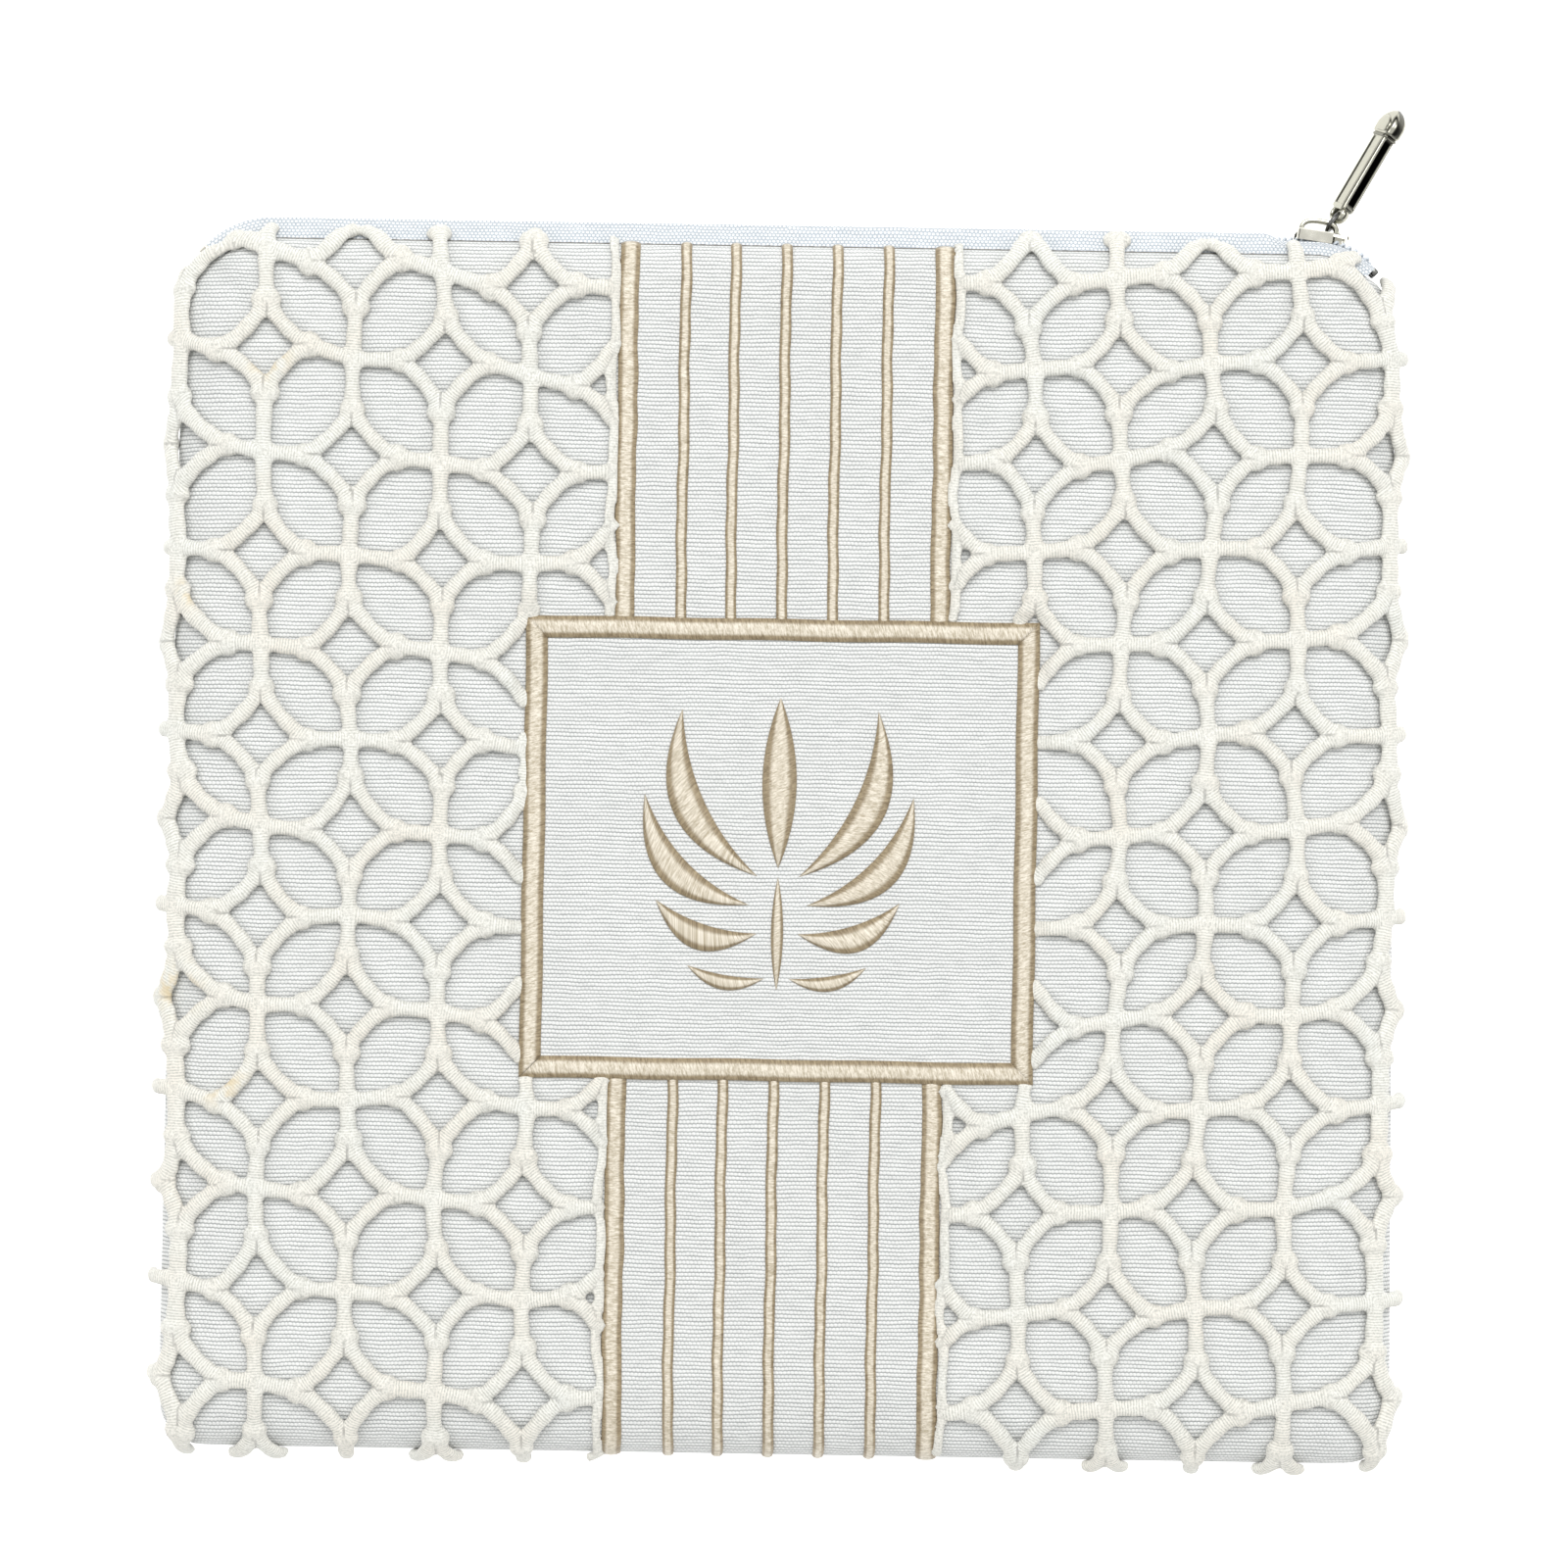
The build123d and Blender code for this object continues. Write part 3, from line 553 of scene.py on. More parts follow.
def make_nickel(name, light, dark, roughness):
    """Plated metal, clouded and finely scratched, near black where the groove value marks a painted dark
    reflection.
    """
    n = Nodes(name, light, roughness, metallic=1.0)
    where = n.where()
    cloud = n.noise(where, 300.0, 3.0)
    scratches = n.noise(n.scaled(where, 1.0, 0.08), 5200.0, 2.0)
    # The groove value paints a dark reflection in near black.
    colour = n.mix(n.attribute("groove"), n.mix(cloud, dark, light), srgb(14, 14, 12))
    return n.set(Base_Color=colour, Roughness=n.span(cloud, 0.3, 0.7, roughness, roughness + 0.1),
                 Normal=n.bump(scratches, 0.004, 0.25))


wadding_fibre = fibrous("wadding_fibre", srgb(242, 242, 239), srgb(228, 228, 224), srgb(248, 248, 246),
                        (0.95, 0.3), (900.0, 4.0, 0.7), (900.0, 4.0, 0.7), (0.5, 0.8))
lace_cord = make_lace()
gold_thread = make_gold()
coil_nylon = fibrous("coil_nylon", srgb(210, 216, 222), srgb(198, 205, 212), srgb(217, 223, 229),
                     (0.35, 0.0), (90.0,), (2500.0,), (0.02, 0.3))
# A dark cord laid in the fold of the lip: painted shade of the gap there.
painted_seam_shade = fibrous("painted_seam_shade", srgb(120, 117, 110), srgb(92, 89, 84), srgb(140, 137, 130),
                      (0.8, 0.1), (2600.0,), (2600.0,), (0.05, 0.5))
nickel = make_nickel("polished_nickel", srgb(208, 206, 196), srgb(192, 190, 180), 0.1)
dark_nickel = make_nickel("dark_nickel", srgb(120, 120, 118), srgb(88, 88, 86), 0.24)
pull_nickel = make_nickel("pull_nickel", srgb(182, 181, 168), srgb(166, 164, 152), 0.12)

# ---- cloth, wadding and lining
SIDES = (("left", -1), ("right", 1))


def soft(made, node):
    """A soft piece of the front: its shape is set in the world's frame and its node of the model hidden.
    """
    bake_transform(made)
    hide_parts(node)


def fixed(made, body, node):
    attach(made, body)
    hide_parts(node)


# Each layer's pattern (first depth, rings, step), material and slot
LAYERS = {"panel": (pattern(0.0, 18, 2.6), canvas, "canvas"),
          "wadding": (pattern(7.0, 6, 7.0), wadding_fibre, "wadding"),
          "lining": (pattern(3.0, 7, 7.0), lining_cloth, "lining")}
UNDER = CLOTH + 0.1          # depth of the wadding under the outside of the cloth


def layer(name, kind, side):
    """One layer of the front's left or right half, or of the back, whose side is 0."""
    shape, material, slot = LAYERS[kind]
    back, node = side == 0, f"{'front' if side else 'back'}_{kind}"
    q, faces = half_of(*shape, side) if side else (shape[0], [f[::-1] for f in shape[1]])
    if kind == "panel":
        high, low = 0.0, -CLOTH
    elif kind == "lining":
        high, low = -UNDER - WADDING, -UNDER - WADDING - LINING
    elif back:
        high, low = -UNDER, 0.1 - CLOTH - WADDING
    else:
        high, low = -UNDER, -CLOTH - 0.4 - (WADDING - 0.5) * ease(edge(q)[0] / 8)
    points, body = closed(place(q, high, back), place(q, low, back), faces)
    made = piece(name, points, body, material, cloth=on_cloth(q * [-1 if back else 1, 1]))
    if back:
        fixed(made, "back", node)
    else:
        soft(made, node)


for label, side in SIDES:
    layer(f"front_cloth_{label}", "panel", side)
    layer(f"front_wadding_{label}", "wadding", side)
    layer(f"front_lining_{label}", "lining", side)
layer("back_cloth", "panel", 0)
layer("back_wadding_pad", "wadding", 0)
layer("back_lining_cloth", "lining", 0)


# ---- raised stitching
def ridge(q, height, base=-0.3):
    """Closed body over a grid of pattern points: lifted by height, with its foot at base."""
    faces = turned(sleeve(*q.shape[:2], around=False))
    flat = q.reshape(-1, 2)
    a, b = flat[faces[0][1]] - flat[faces[0][0]], flat[faces[0][2]] - flat[faces[0][0]]
    if a[0] * b[1] - a[1] * b[0] < 0:
        faces = [f[::-1] for f in faces]
    return closed(place(flat, height.ravel()), place(flat, base), faces)


def gold_piece(name, node, parts):
    points, faces, values = join(parts)
    fixed(piece(name, points, faces, gold_thread, **values), "front", node)


def join(parts):
    """Several (points, faces, attributes) as one."""
    points, faces, values, start = [], [], {}, 0
    for part_points, part_faces, part_values in parts:
        points.append(part_points)
        faces += [tuple(i + start for i in f) for f in part_faces]
        start += len(part_points)
        for key, value in part_values.items():
            values.setdefault(key, []).append(value)
    return np.concatenate(points), faces, {k: np.concatenate(v) for k, v in values.items()}


ACROSS = np.sin(np.linspace(-math.pi / 2, math.pi / 2, 11))     # closer together at the edges
STITCH_STEP = 1.2            # between the cross-sections of a ridge


def rounded(fall):
    """Height across a ridge: one in its middle, down by fall at its edges."""
    return (1 - fall * ACROSS ** 2)[None, :] ** 0.6


def stitched(q, height, along, across):
    """A ridge of satin stitch with the values that its material needs."""
    points, faces = ridge(q, height)
    share = np.broadcast_to(np.abs(ACROSS)[None, :], along.shape).ravel()
    thread = np.column_stack([along.ravel(), across.ravel(), np.full(along.size, rng.uniform(0, 90))])
    return points, faces, {"thread": np.tile(thread, (2, 1)), "edge": np.tile(share, 2)}


def stripe(x, width, low, high):
    y = np.arange(low, high + 0.01, (high - low) / max(2, round((high - low) / STITCH_STEP)))
    wobble = 0.12 * np.sin(y / 6.5 + x) + 0.08 * np.sin(y / 2.3 + 2 * x)
    half = width / 2 * (1 + 0.03 * np.sin(y / 1.9 + x))
    q = np.stack(np.broadcast_arrays(x + wobble[:, None] + half[:, None] * ACROSS, y[:, None]), 2)
    height = STRIPE_HEIGHT * rounded(0.9) * (1 + 0.06 * np.sin(y / 1.4))[:, None]
    return stitched(q, height, q[..., 1], q[..., 0])


bottom_edge = BOTTOM_Y - EXTRA[0] + 0.2
top_edge = TOP_Y + EXTRA[-1] - 0.1
for name, places, width in (("wide_stripe_stitching", WIDE_STRIPES, WIDE_STRIPE),
                            ("narrow_stripe_stitching", NARROW_STRIPES, NARROW_STRIPE)):
    gold_piece(name, name.replace("_stripe_stitching", "_stripes"), [
        stripe(x, width, low, high) for x in places
        for low, high in ((bottom_edge, PLAQUE_Y[0] + 1.5), (PLAQUE_Y[1] - 1.5, top_edge))])

PATCH_INSET = 1.2            # how far the patch stays inside the outside of its frame
grid = [np.linspace(low + PATCH_INSET, high - PATCH_INSET, count)
        for (low, high), count in ((PLAQUE_X, 61), (PLAQUE_Y, 55))]
q = np.stack(np.meshgrid(*grid, indexing="ij"), 2)
points, faces = ridge(q, np.full(q.shape[:2], PATCH), 0.02)
made = piece("plaque_cloth", points, faces, canvas,
             cloth=on_cloth(q.reshape(-1, 2) * [1.0, 1.02] + [7.3, 400.0]))
fixed(made, "front", "plaque_patch")


def border_member(a, b, inward):
    """One mitred side of the frame, from outer corner to outer corner."""
    a, b, inward = (np.array(v, float) for v in (a, b, inward))
    length = np.linalg.norm(b - a)
    way = (b - a) / length
    v = (ACROSS + 1) / 2 * PLAQUE_BORDER
    u = np.linspace(0, 1, int(length / STITCH_STEP))
    along = v + u[:, None] * (length - 2 * v)
    wave = 0.10 * np.sin(along / 5.7 + a[0])
    q = a + along[..., None] * way + (v + wave)[..., None] * inward
    height = PATCH + BORDER_HEIGHT * rounded(0.92) * np.ones((len(u), 1))
    return stitched(q, height, along + 0.25 * v, v + 0 * along)


x0, x1, y0, y1 = *PLAQUE_X, *PLAQUE_Y
gold_piece("plaque_frame_stitching", "plaque_border", [
    border_member((x0, y0), (x1, y0), (0, 1)), border_member((x1, y0), (x1, y1), (-1, 0)),
    border_member((x1, y1), (x0, y1), (0, -1)), border_member((x0, y1), (x0, y0), (1, 0))])

# Leaves of the motif: start, end, and how far their outer and inner edges bow
MOTIF_STROKES = [((0, -6), (0, 36), 4.2, -4.2),
                 ((0, -36), (0, -8), 1.5, -1.5),
                 ((5, -8), (24, 33), -12.5, -4.5),
                 ((7, -15), (33, 12), -11.5, -4.0),
                 ((5, -22), (30, -14), -8.5, -2.0),
                 ((3, -33), (22, -30), -4.5, -0.8)]


def crescent(start, end, outer, inner, side):
    """Leaf between two arcs on the same chord; outer and inner are how far they bow."""
    a = np.array([LACE_CENTRE_X + side * start[0], start[1]], float)
    b = np.array([LACE_CENTRE_X + side * end[0], end[1]], float)
    chord = b - a
    left = np.array([-chord[1], chord[0]]) / np.linalg.norm(chord)
    t = np.linspace(0.002, 0.998, 48)
    bow = (1 - (2 * t - 1) ** 2)
    mid, half = side * (outer + inner) / 2, (outer - inner) / 2 * side
    q = a + t[:, None, None] * chord + (bow[:, None] * (mid + half * ACROSS))[..., None] * left
    plump = np.minimum(1, np.abs(half) * bow / 2.0) ** 0.7
    height = PATCH + MOTIF_HEIGHT * plump[:, None] * rounded(0.92)
    along = (t * np.linalg.norm(chord))[:, None] + 0.35 * half * ACROSS
    return stitched(q, height, along, q[..., 0])


gold_piece("centre_motif_stitching", "centre_motif", [
    crescent(*stroke, side) for stroke in MOTIF_STROKES
    for side in ((1,) if stroke[0][0] == 0 else (-1, 1))])

# ---- lace
CORD_HALF_WIDTH, CORD_HALF_HEIGHT, EDGE_CORD_HALF_WIDTH = 2.05, 1.5, 1.4
CORD_LIFT, KNOT_LIFT = 1.9, 1.4       # height of a cord's middle over the cloth, free and at its knots
SIDE_STAND_OFF, SIDE_TURN = 0.5, 14.0      # extra height where the lace turns down the sides
SEWN_HEIGHT, SEWN_REACH = 0.4, 4.0         # share of its height that is left where the lace is sewn
OUTER_TIP = {-1: 0.36, 1: 0.42}            # share of the last column's diamonds before the side turns
TOP_OVERLAP = 3.0            # how far the lace folds over the top seam, along the cloth
TALL_KNOT, WIDE_KNOT = (2.9, 3.4), (3.6, 3.0)      # half width and half height
KNOT_REACH = 2.6             # how far along a cord its knots hide the turns of the thread
SEAM_MARGIN, STRIPE_MARGIN, UNDER_FRAME = 1.2, 0.2, 0.6    # where the lace ends at each
VOXEL, QUICK_VOXEL = 0.66, 1.1
STAINS = ((-149.0, -38.0, 5.0), (-137.0, -60.0, 5.0), (-128.0, 117.0, 4.0), (-147.0, 60.0, 3.0))


def stripe_edge(side):
    """Outer edge of the wide stripe on one side."""
    return WIDE_STRIPES[side > 0] + side * WIDE_STRIPE / 2


def allowed(q, side):
    """Where the lace may be: outside the plaque and the wide stripe, and short of the side seams."""
    depth, _, share = depth_at(q)
    low, high = np.array([PLAQUE_X, PLAQUE_Y]).T + [[UNDER_FRAME], [-UNDER_FRAME]]
    return ((depth > lerp(SEAM_MARGIN, -TOP_OVERLAP, share))
            & (side * (q[:, 0] - stripe_edge(side)) > STRIPE_MARGIN)
            & ~((q > low) & (q < high)).all(1))


def pulled(c, r, side):
    """How far the hand-made lace is pulled from its even grid, at column c and row r."""
    if side < 0:
        dip = -5.6 + 2.6 * math.exp(-((r - 8.5) / 2.2) ** 2)
        tilt = 0.75 + 2.0 * math.exp(-(max(r, 0) / 1.7) ** 2)
        inwards = 3.0 if c >= LACE_COLUMNS - 1 else 0
        return np.array([-1.0 + 0.18 * r + inwards, dip + tilt * max(c - 1, -0.2)])
    start = math.exp(-max(r, 0) / 0.8)
    bulge = math.exp(-((r - 10.5) / 1.5) ** 2)
    return np.array([0.3 - 0.4 * min(c, 3) - 2.2 * start - bulge,
                     -3.2 - 2.2 * start + (c - 1) - 2.6 * float(ease((r - 9) / 3))])


def lattice(side):
    """Cords of one side as lists of pattern points, and its knots with their half sizes."""
    jitter = rng.normal(0, 0.5, (LACE_COLUMNS + 3, LACE_ROWS + 4, 5, 2))
    rows = range(-1, LACE_ROWS + 2)
    columns = range(-1, LACE_COLUMNS + 1)

    def centre(c, r):
        x = LACE_CENTRE_X + side * (LACE_FIRST_COLUMN + c * LACE_COLUMN_PITCH)
        y = LACE_TOP_ROW[side] - r * LACE_ROW_PITCH[side]
        return np.array([x, y]) + pulled(c, r, side) + jitter[c + 1, r + 1, 4] * 0.8

    def tip(c, r, way):
        """Corner of a diamond: 0 outer, 1 upper, 2 inner, 3 lower. The last column ends at the seam."""
        outer = DIAMOND_HALF_WIDTH * (OUTER_TIP[side] if c == LACE_COLUMNS - 1 else 1)
        reach = ((side * outer, 0), (0, DIAMOND_HALF_HEIGHT),
                 (-side * DIAMOND_HALF_WIDTH, 0), (0, -DIAMOND_HALF_HEIGHT))[way]
        return centre(c, r) + reach + jitter[c + 1, r + 1, way]

    cords, knots = [], []
    for c in columns:
        for r in rows:
            if r < 0 and c <= 0:
                continue
            if (c + r) % 2 == 1:
                for way in range(4):
                    a, b = tip(c, r, way), tip(c, r, (way + 1) % 4)
                    t = np.linspace(0, 1, 26)[:, None]
                    middle = (a + b) / 2
                    inwards = centre(c, r) - middle
                    inwards /= np.linalg.norm(inwards)
                    cords.append(a + t * (b - a) + 4 * t * (1 - t) * DIAMOND_SAGITTA * inwards)
                    knots.append((a, TALL_KNOT if way % 2 == 0 else WIDE_KNOT))
            else:
                t = np.linspace(0, 1, 16)[:, None]
                for dc, dr, way in ((1, 0, 2), (-1, 0, 0), (0, -1, 3), (0, 1, 1)):
                    if c + dc in columns and r + dr in rows:
                        cords.append(centre(c, r) + t * (tip(c + dc, r + dr, way) - centre(c, r)))
    return cords, knots


def clear(q):
    """Distance from the wide stripes and the plaque, under whose stitching the lace is sewn."""
    stripes = np.min([np.abs(q[:, 0] - x) for x in WIDE_STRIPES], axis=0) - WIDE_STRIPE / 2
    beside = np.maximum(PLAQUE_X[0] - q[:, 0], q[:, 0] - PLAQUE_X[1])
    above = np.maximum(PLAQUE_Y[0] - q[:, 1], q[:, 1] - PLAQUE_Y[1])
    return np.maximum(np.minimum(stripes, np.maximum(beside, above)), 0)


def lifted(q, height):
    """Points of the lace over the cloth: off it at the sides, pressed down where it is sewn."""
    depth, normal, share = depth_at(q)
    stand_off = SIDE_STAND_OFF * (1 - ease(depth / SIDE_TURN)) * (1 - share) * normal[:, 0] ** 2
    return place(q, height * lerp(SEWN_HEIGHT, 1, ease(clear(q) / SEWN_REACH)) + stand_off)


def tube(q, half_width=CORD_HALF_WIDTH):
    """Closed oval tube along pattern points, lifted in its middle, with a slightly uneven width."""
    n, ring = len(q), 12
    tangent = unit(np.gradient(q, axis=0))
    across = np.column_stack([-tangent[:, 1], tangent[:, 0]])
    angle = circle(ring)
    uneven = 1 + 0.06 * np.sin(np.arange(n) * 0.7 + rng.uniform(0, 6))
    middle = KNOT_LIFT + (CORD_LIFT - KNOT_LIFT) * np.sin(np.linspace(0, math.pi, n)) ** 0.7
    width = (half_width * uneven)[:, None] * np.cos(angle)
    height = middle[:, None] + (CORD_HALF_HEIGHT * uneven)[:, None] * np.sin(angle)
    flat = (q[:, None, :] + width[..., None] * across[:, None, :]).reshape(-1, 2)
    ends = np.array([q[0] - tangent[0], q[-1] + tangent[-1]])
    return np.concatenate([lifted(flat, height.ravel()), lifted(ends, KNOT_LIFT)]), pointed(n, ring)


def knot(q, half):
    """Flattened oval ball at a pattern point, sitting on the cloth."""
    rings, ring, thick, sunk = 6, 12, 2.1, 0.5
    latitude = np.linspace(-math.pi / 2, math.pi / 2, rings + 2)[1:-1, None]
    angle = circle(ring)
    flat = (q + np.stack([half[0] * np.cos(latitude) * np.cos(angle),
                          half[1] * np.cos(latitude) * np.sin(angle)], 2)).reshape(-1, 2)
    middle = thick - sunk
    points = np.concatenate([lifted(flat, np.repeat(middle + thick * np.sin(latitude), ring)),
                             lifted(np.array([q, q]), middle + thick * np.array([-1, 1]))])
    return points, pointed(rings, ring)


def runs(flags):
    """Index ranges where flags stay true."""
    padded = np.concatenate([[False], flags, [False]])
    change = np.flatnonzero(padded[1:] != padded[:-1])
    return [(a, b) for a, b in zip(change[::2], change[1::2]) if b - a >= 3]


def make_lace_side(label, side):
    """The lace left or right of the stripes, joined into one body by a remesh."""
    cords, knots = lattice(side)
    parts, samples, along, near_knot = [], [], [], []
    for cord in cords:
        for a, b in runs(allowed(cord, side)):
            q = cord[a:b]
            parts.append((*tube(q), {}))
            at = np.linspace(0, len(q) - 1, len(q) * 2)
            placed = lifted(resample(at, np.arange(len(q)), q), CORD_LIFT)
            length = travel(placed)
            samples.append(placed)
            along.append(length + rng.uniform(0, 1))
            near_knot.append(np.clip(1 - np.minimum(length, length[-1] - length) / KNOT_REACH, 0, 1))
    for low, high in ((BOTTOM_Y, PLAQUE_Y[0]), (PLAQUE_Y[1], TOP_Y + 1)):
        y = np.arange(low, high, 1.5)
        x = stripe_edge(side) + side * (0.9 + 0.4 * np.sin(y / 5.3 + side) + 0.3 * np.sin(y / 2.9))
        q = np.column_stack([x, y])
        parts.append((*tube(q, EDGE_CORD_HALF_WIDTH), {}))
        samples.append(lifted(q, CORD_LIFT))
        along.append(y)
        near_knot.append(np.full(len(y), 0.5))
    for q, half in knots:
        if allowed(q[None, :], side)[0]:
            parts.append((*knot(q, np.array(half) * rng.uniform(0.9, 1.1)), {}))
    points, faces, _ = join(parts)
    raw = piece(f"lace_{label}_raw", points, faces, lace_cord)
    remesh = raw.modifiers.new("Remesh", "REMESH")
    remesh.mode = "VOXEL"
    remesh.voxel_size = VOXEL * MM
    remesh.use_smooth_shade = True
    relax = raw.modifiers.new("Smooth", "SMOOTH")
    relax.factor, relax.iterations = 0.5, 3
    mesh = bpy.data.meshes.new_from_object(raw.evaluated_get(bpy.context.evaluated_depsgraph_get()))
    bpy.data.objects.remove(raw)
    vertices = np.zeros(len(mesh.vertices) * 3, np.float32)
    mesh.vertices.foreach_get("co", vertices)
    vertices = vertices.reshape(-1, 3) / MM
    samples, along, near_knot = np.concatenate(samples), np.concatenate(along), np.concatenate(near_knot)
    tangent = unit(np.gradient(samples, axis=0))
    tree = kdtree.KDTree(len(samples))
    for i, p in enumerate(samples.tolist()):
        tree.insert(p, i)
    tree.balance()
    nearest = np.array([tree.find(p)[1] for p in vertices.tolist()])
    offset = np.clip(np.einsum("ij,ij->i", vertices - samples[nearest], tangent[nearest]), -1, 1)
    stain = np.zeros(len(vertices))
    for x, y, size in STAINS:
        away = (vertices[:, 0] - x) ** 2 + (vertices[:, 1] - y) ** 2
        stain = np.maximum(stain, np.exp(-away / size ** 2))
    faces = [tuple(p.vertices) for p in mesh.polygons]
    bpy.data.meshes.remove(mesh)
    made = piece(f"lace_cords_{label}", vertices, faces, lace_cord,
                 along=along[nearest] + offset, knot=near_knot[nearest], stain=stain)
    soft(made, f"lace_{label}")


for label, side in SIDES:
    make_lace_side(label, side)


# ---- zip
def zip_path(step, side=None):
    """Points and outward normals along the zip, whole or one half of it."""
    parts = []
    count = max(3, int(TOP_RADIUS * math.radians(GUSSET_ARC) / step))
    for way in (-1, 1):
        angle = np.radians(np.linspace(90 - GUSSET_ARC, 90, count, endpoint=False))
        normal = np.column_stack([way * np.cos(angle), np.sin(angle)])
        start = TOP_CORNER.centre * [way, 1]
        arc = start + TOP_RADIUS * normal
        run = np.linspace(start[0], SPLIT_X, int(abs(start[0] - SPLIT_X) / step) + 2)
        points = np.concatenate([arc, np.column_stack([run, np.full(len(run), TOP_Y)])])
        normals = np.concatenate([normal, np.tile((0, 1), (len(run), 1))])
        parts.append((points, normals))
    left, right = parts
    right = (right[0][::-1], right[1][::-1])
    if side == -1:
        return left
    if side == 1:
        return right
    return np.concatenate([left[0], right[0][1:]]), np.concatenate([left[1], right[1][1:]])


def parted(x, gap):
    """Distance of the zip's halves from the middle: closed behind the slider, parted ahead."""
    return gap + (COIL_PARTED - gap) * ease((x - PARTED_FROM_X + 2) / 3)


def tape(name, way, side=None):
    """One tape: upright beside the coil, then slanting in under the lip of the cloth."""
    points, normals = zip_path(1.5, side)
    along = travel(points)
    near = parted(points[:, 0], SEAM_GAP / 2)
    wave = 0.12 * np.sin(along / 7 + way) + 0.08 * np.sin(along / 3.1)
    beside_slider = (ease((points[:, 0] - BESIDE_SLIDER_X[0]) / 6)
                     * (1 - ease((points[:, 0] - BESIDE_SLIDER_X[1]) / 4)))
    bulge = TAPE_BULGE * (1 - beside_slider)
    # How far out, and the level: 0 at the coil, 1 at the end of the upright part, then down the slant
    stations = [(TAPE_OUT, 0.0), (TAPE_OUT, 0.3), (TAPE_OUT + 0.1, 0.6), (TAPE_OUT + 0.1, 0.9),
                (TAPE_OUT + 0.15 + 0.6 * bulge, 0.94), (TAPE_OUT + bulge, 0.98),
                (TAPE_OUT + bulge - 0.4, 1.04), (TAPE_OUT - 0.6 + 0.5 * bulge, 1.12),
                (0.6, 1.2), (-0.8, 1.3), (-2.1, 1.4), (-3.2, 1.5)]
    outer, inner, cloth = [], [], []
    distance, last = 0.0, None
    for out, level in stations:
        z = near + (TAPE_STRAIGHT - near) * min(level, 1) + max(level - 1, 0) * TAPE_SLANT
        fall = ease((level - 0.6) / 0.5)
        o = out + wave * (1 - abs(2 * min(level, 1) - 1))
        for target, shift in ((outer, TAPE / 2), (inner, -TAPE / 2)):
            target.append(np.column_stack([points + normals * (o + shift * (1 - 0.3 * fall))[:, None],
                                           MID_Z + way * (z + shift * 0.7 * fall)]))
        spot = np.array([np.mean(out), np.mean(z)])
        distance += 0 if last is None else np.linalg.norm(spot - last)
        last = spot
        cloth.append(np.column_stack([along, np.full(len(along), 60.0 * way + distance)]))
    outer, inner = np.concatenate(outer), np.concatenate(inner)
    faces = sleeve(len(stations), len(points), around=False)
    a, b, c = (outer[faces[0][k]] for k in range(3))
    if np.dot(np.cross(b - a, c - a), np.append(normals[0], 0)) < 0:
        faces = [f[::-1] for f in faces]
    made = piece(name, *closed(outer, inner, faces), tape_cloth, cloth=on_cloth(np.concatenate(cloth)))
    made.data.set_sharp_from_angle(angle=math.radians(60))
    return made


def coil(name, way, side=None):
    """One half of the coil: an oval spiral of nylon."""
    points, normals = zip_path(0.5, side)
    along = travel(points)
    turns, steps, ring, wire = int(along[-1] / COIL_PITCH), 14, 6, 0.36
    phase = np.arange(turns * steps + 1) / steps * 2 * math.pi
    s = phase / (2 * math.pi) * COIL_PITCH
    base, normal = resample(s, along, points), unit(resample(s, along, normals))
    start = parted(base[:, 0], SEAM_GAP / 2)
    half_z, half_out = COIL_HALF / 2 - wire, COIL_HEIGHT / 2 - wire
    z = MID_Z + way * (start + COIL_HALF / 2 + half_z * np.cos(phase + (0 if way > 0 else math.pi)))
    out = TAPE_OUT + TAPE / 2 + COIL_HEIGHT / 2 + half_out * np.sin(phase)
    line = np.column_stack([base + normal * out[:, None], z])
    tangent = unit(np.gradient(line, axis=0))
    core = np.column_stack([base + normal * (TAPE_OUT + TAPE / 2 + COIL_HEIGHT / 2),
                            MID_Z + way * (start + COIL_HALF / 2)])
    outward = line - core
    outward = unit(outward - tangent * np.einsum("ij,ij->i", outward, tangent)[:, None])
    third = np.cross(tangent, outward)
    angle = circle(ring)[None, :, None]
    round_wire = np.cos(angle) * outward[:, None, :] + np.sin(angle) * third[:, None, :]
    body = (line[:, None, :] + wire * round_wire).reshape(-1, 3)
    return piece(name, body, capped(len(line), ring), coil_nylon)


fixed(tape("back_zip_tape", -1), "back", "back_tape")
fixed(coil("back_zip_coil", -1), "back", "back_coil")
for label, side in SIDES:
    soft(tape(f"front_zip_tape_{label}", 1, side), "front_tape")
    soft(coil(f"front_zip_coil_{label}", 1, side), "front_coil")

LIP_SHADE_CORD = 0.2             # radius of the dark cord in the fold of the lip, painted shade of the gap to the tape


def lip_shade_cord(name, side):
    """Dark cord in the fold where the cloth's lip meets the tape: painted shade of the gap between them.
    """
    points, normals = zip_path(1.5, side)
    angle = circle(6)
    wave = 0.06 * np.sin(points[:, 0] * 1.9)
    out = (0.1 - TOP_LIP_INSET + wave)[:, None] + LIP_SHADE_CORD * np.cos(angle)
    z = np.broadcast_to(TOP_LIP_Z - 0.3 + LIP_SHADE_CORD * np.sin(angle), out.shape)
    body = np.concatenate([points[:, None, :] + normals[:, None, :] * out[..., None], z[..., None]], 2)
    return piece(name, body.reshape(-1, 3), turned(capped(*out.shape)), painted_seam_shade)


for label, side in SIDES:
    soft(lip_shade_cord(f"lip_shade_cord_{label}", side), "front_panel")

# ---- metal
def loft(stations, ring, power=5.0):
    """Closed body through rounded rectangles: (along, half width, half thickness) stations."""
    angle = circle(ring)
    w, f = (np.sign(v) * np.abs(v) ** (2 / power) for v in (np.cos(angle), np.sin(angle)))
    rows = [np.column_stack([np.full(ring, t), half_w * w, half_f * f])
            for t, half_w, half_f in stations]
    return np.concatenate(rows), capped(len(rows), ring)


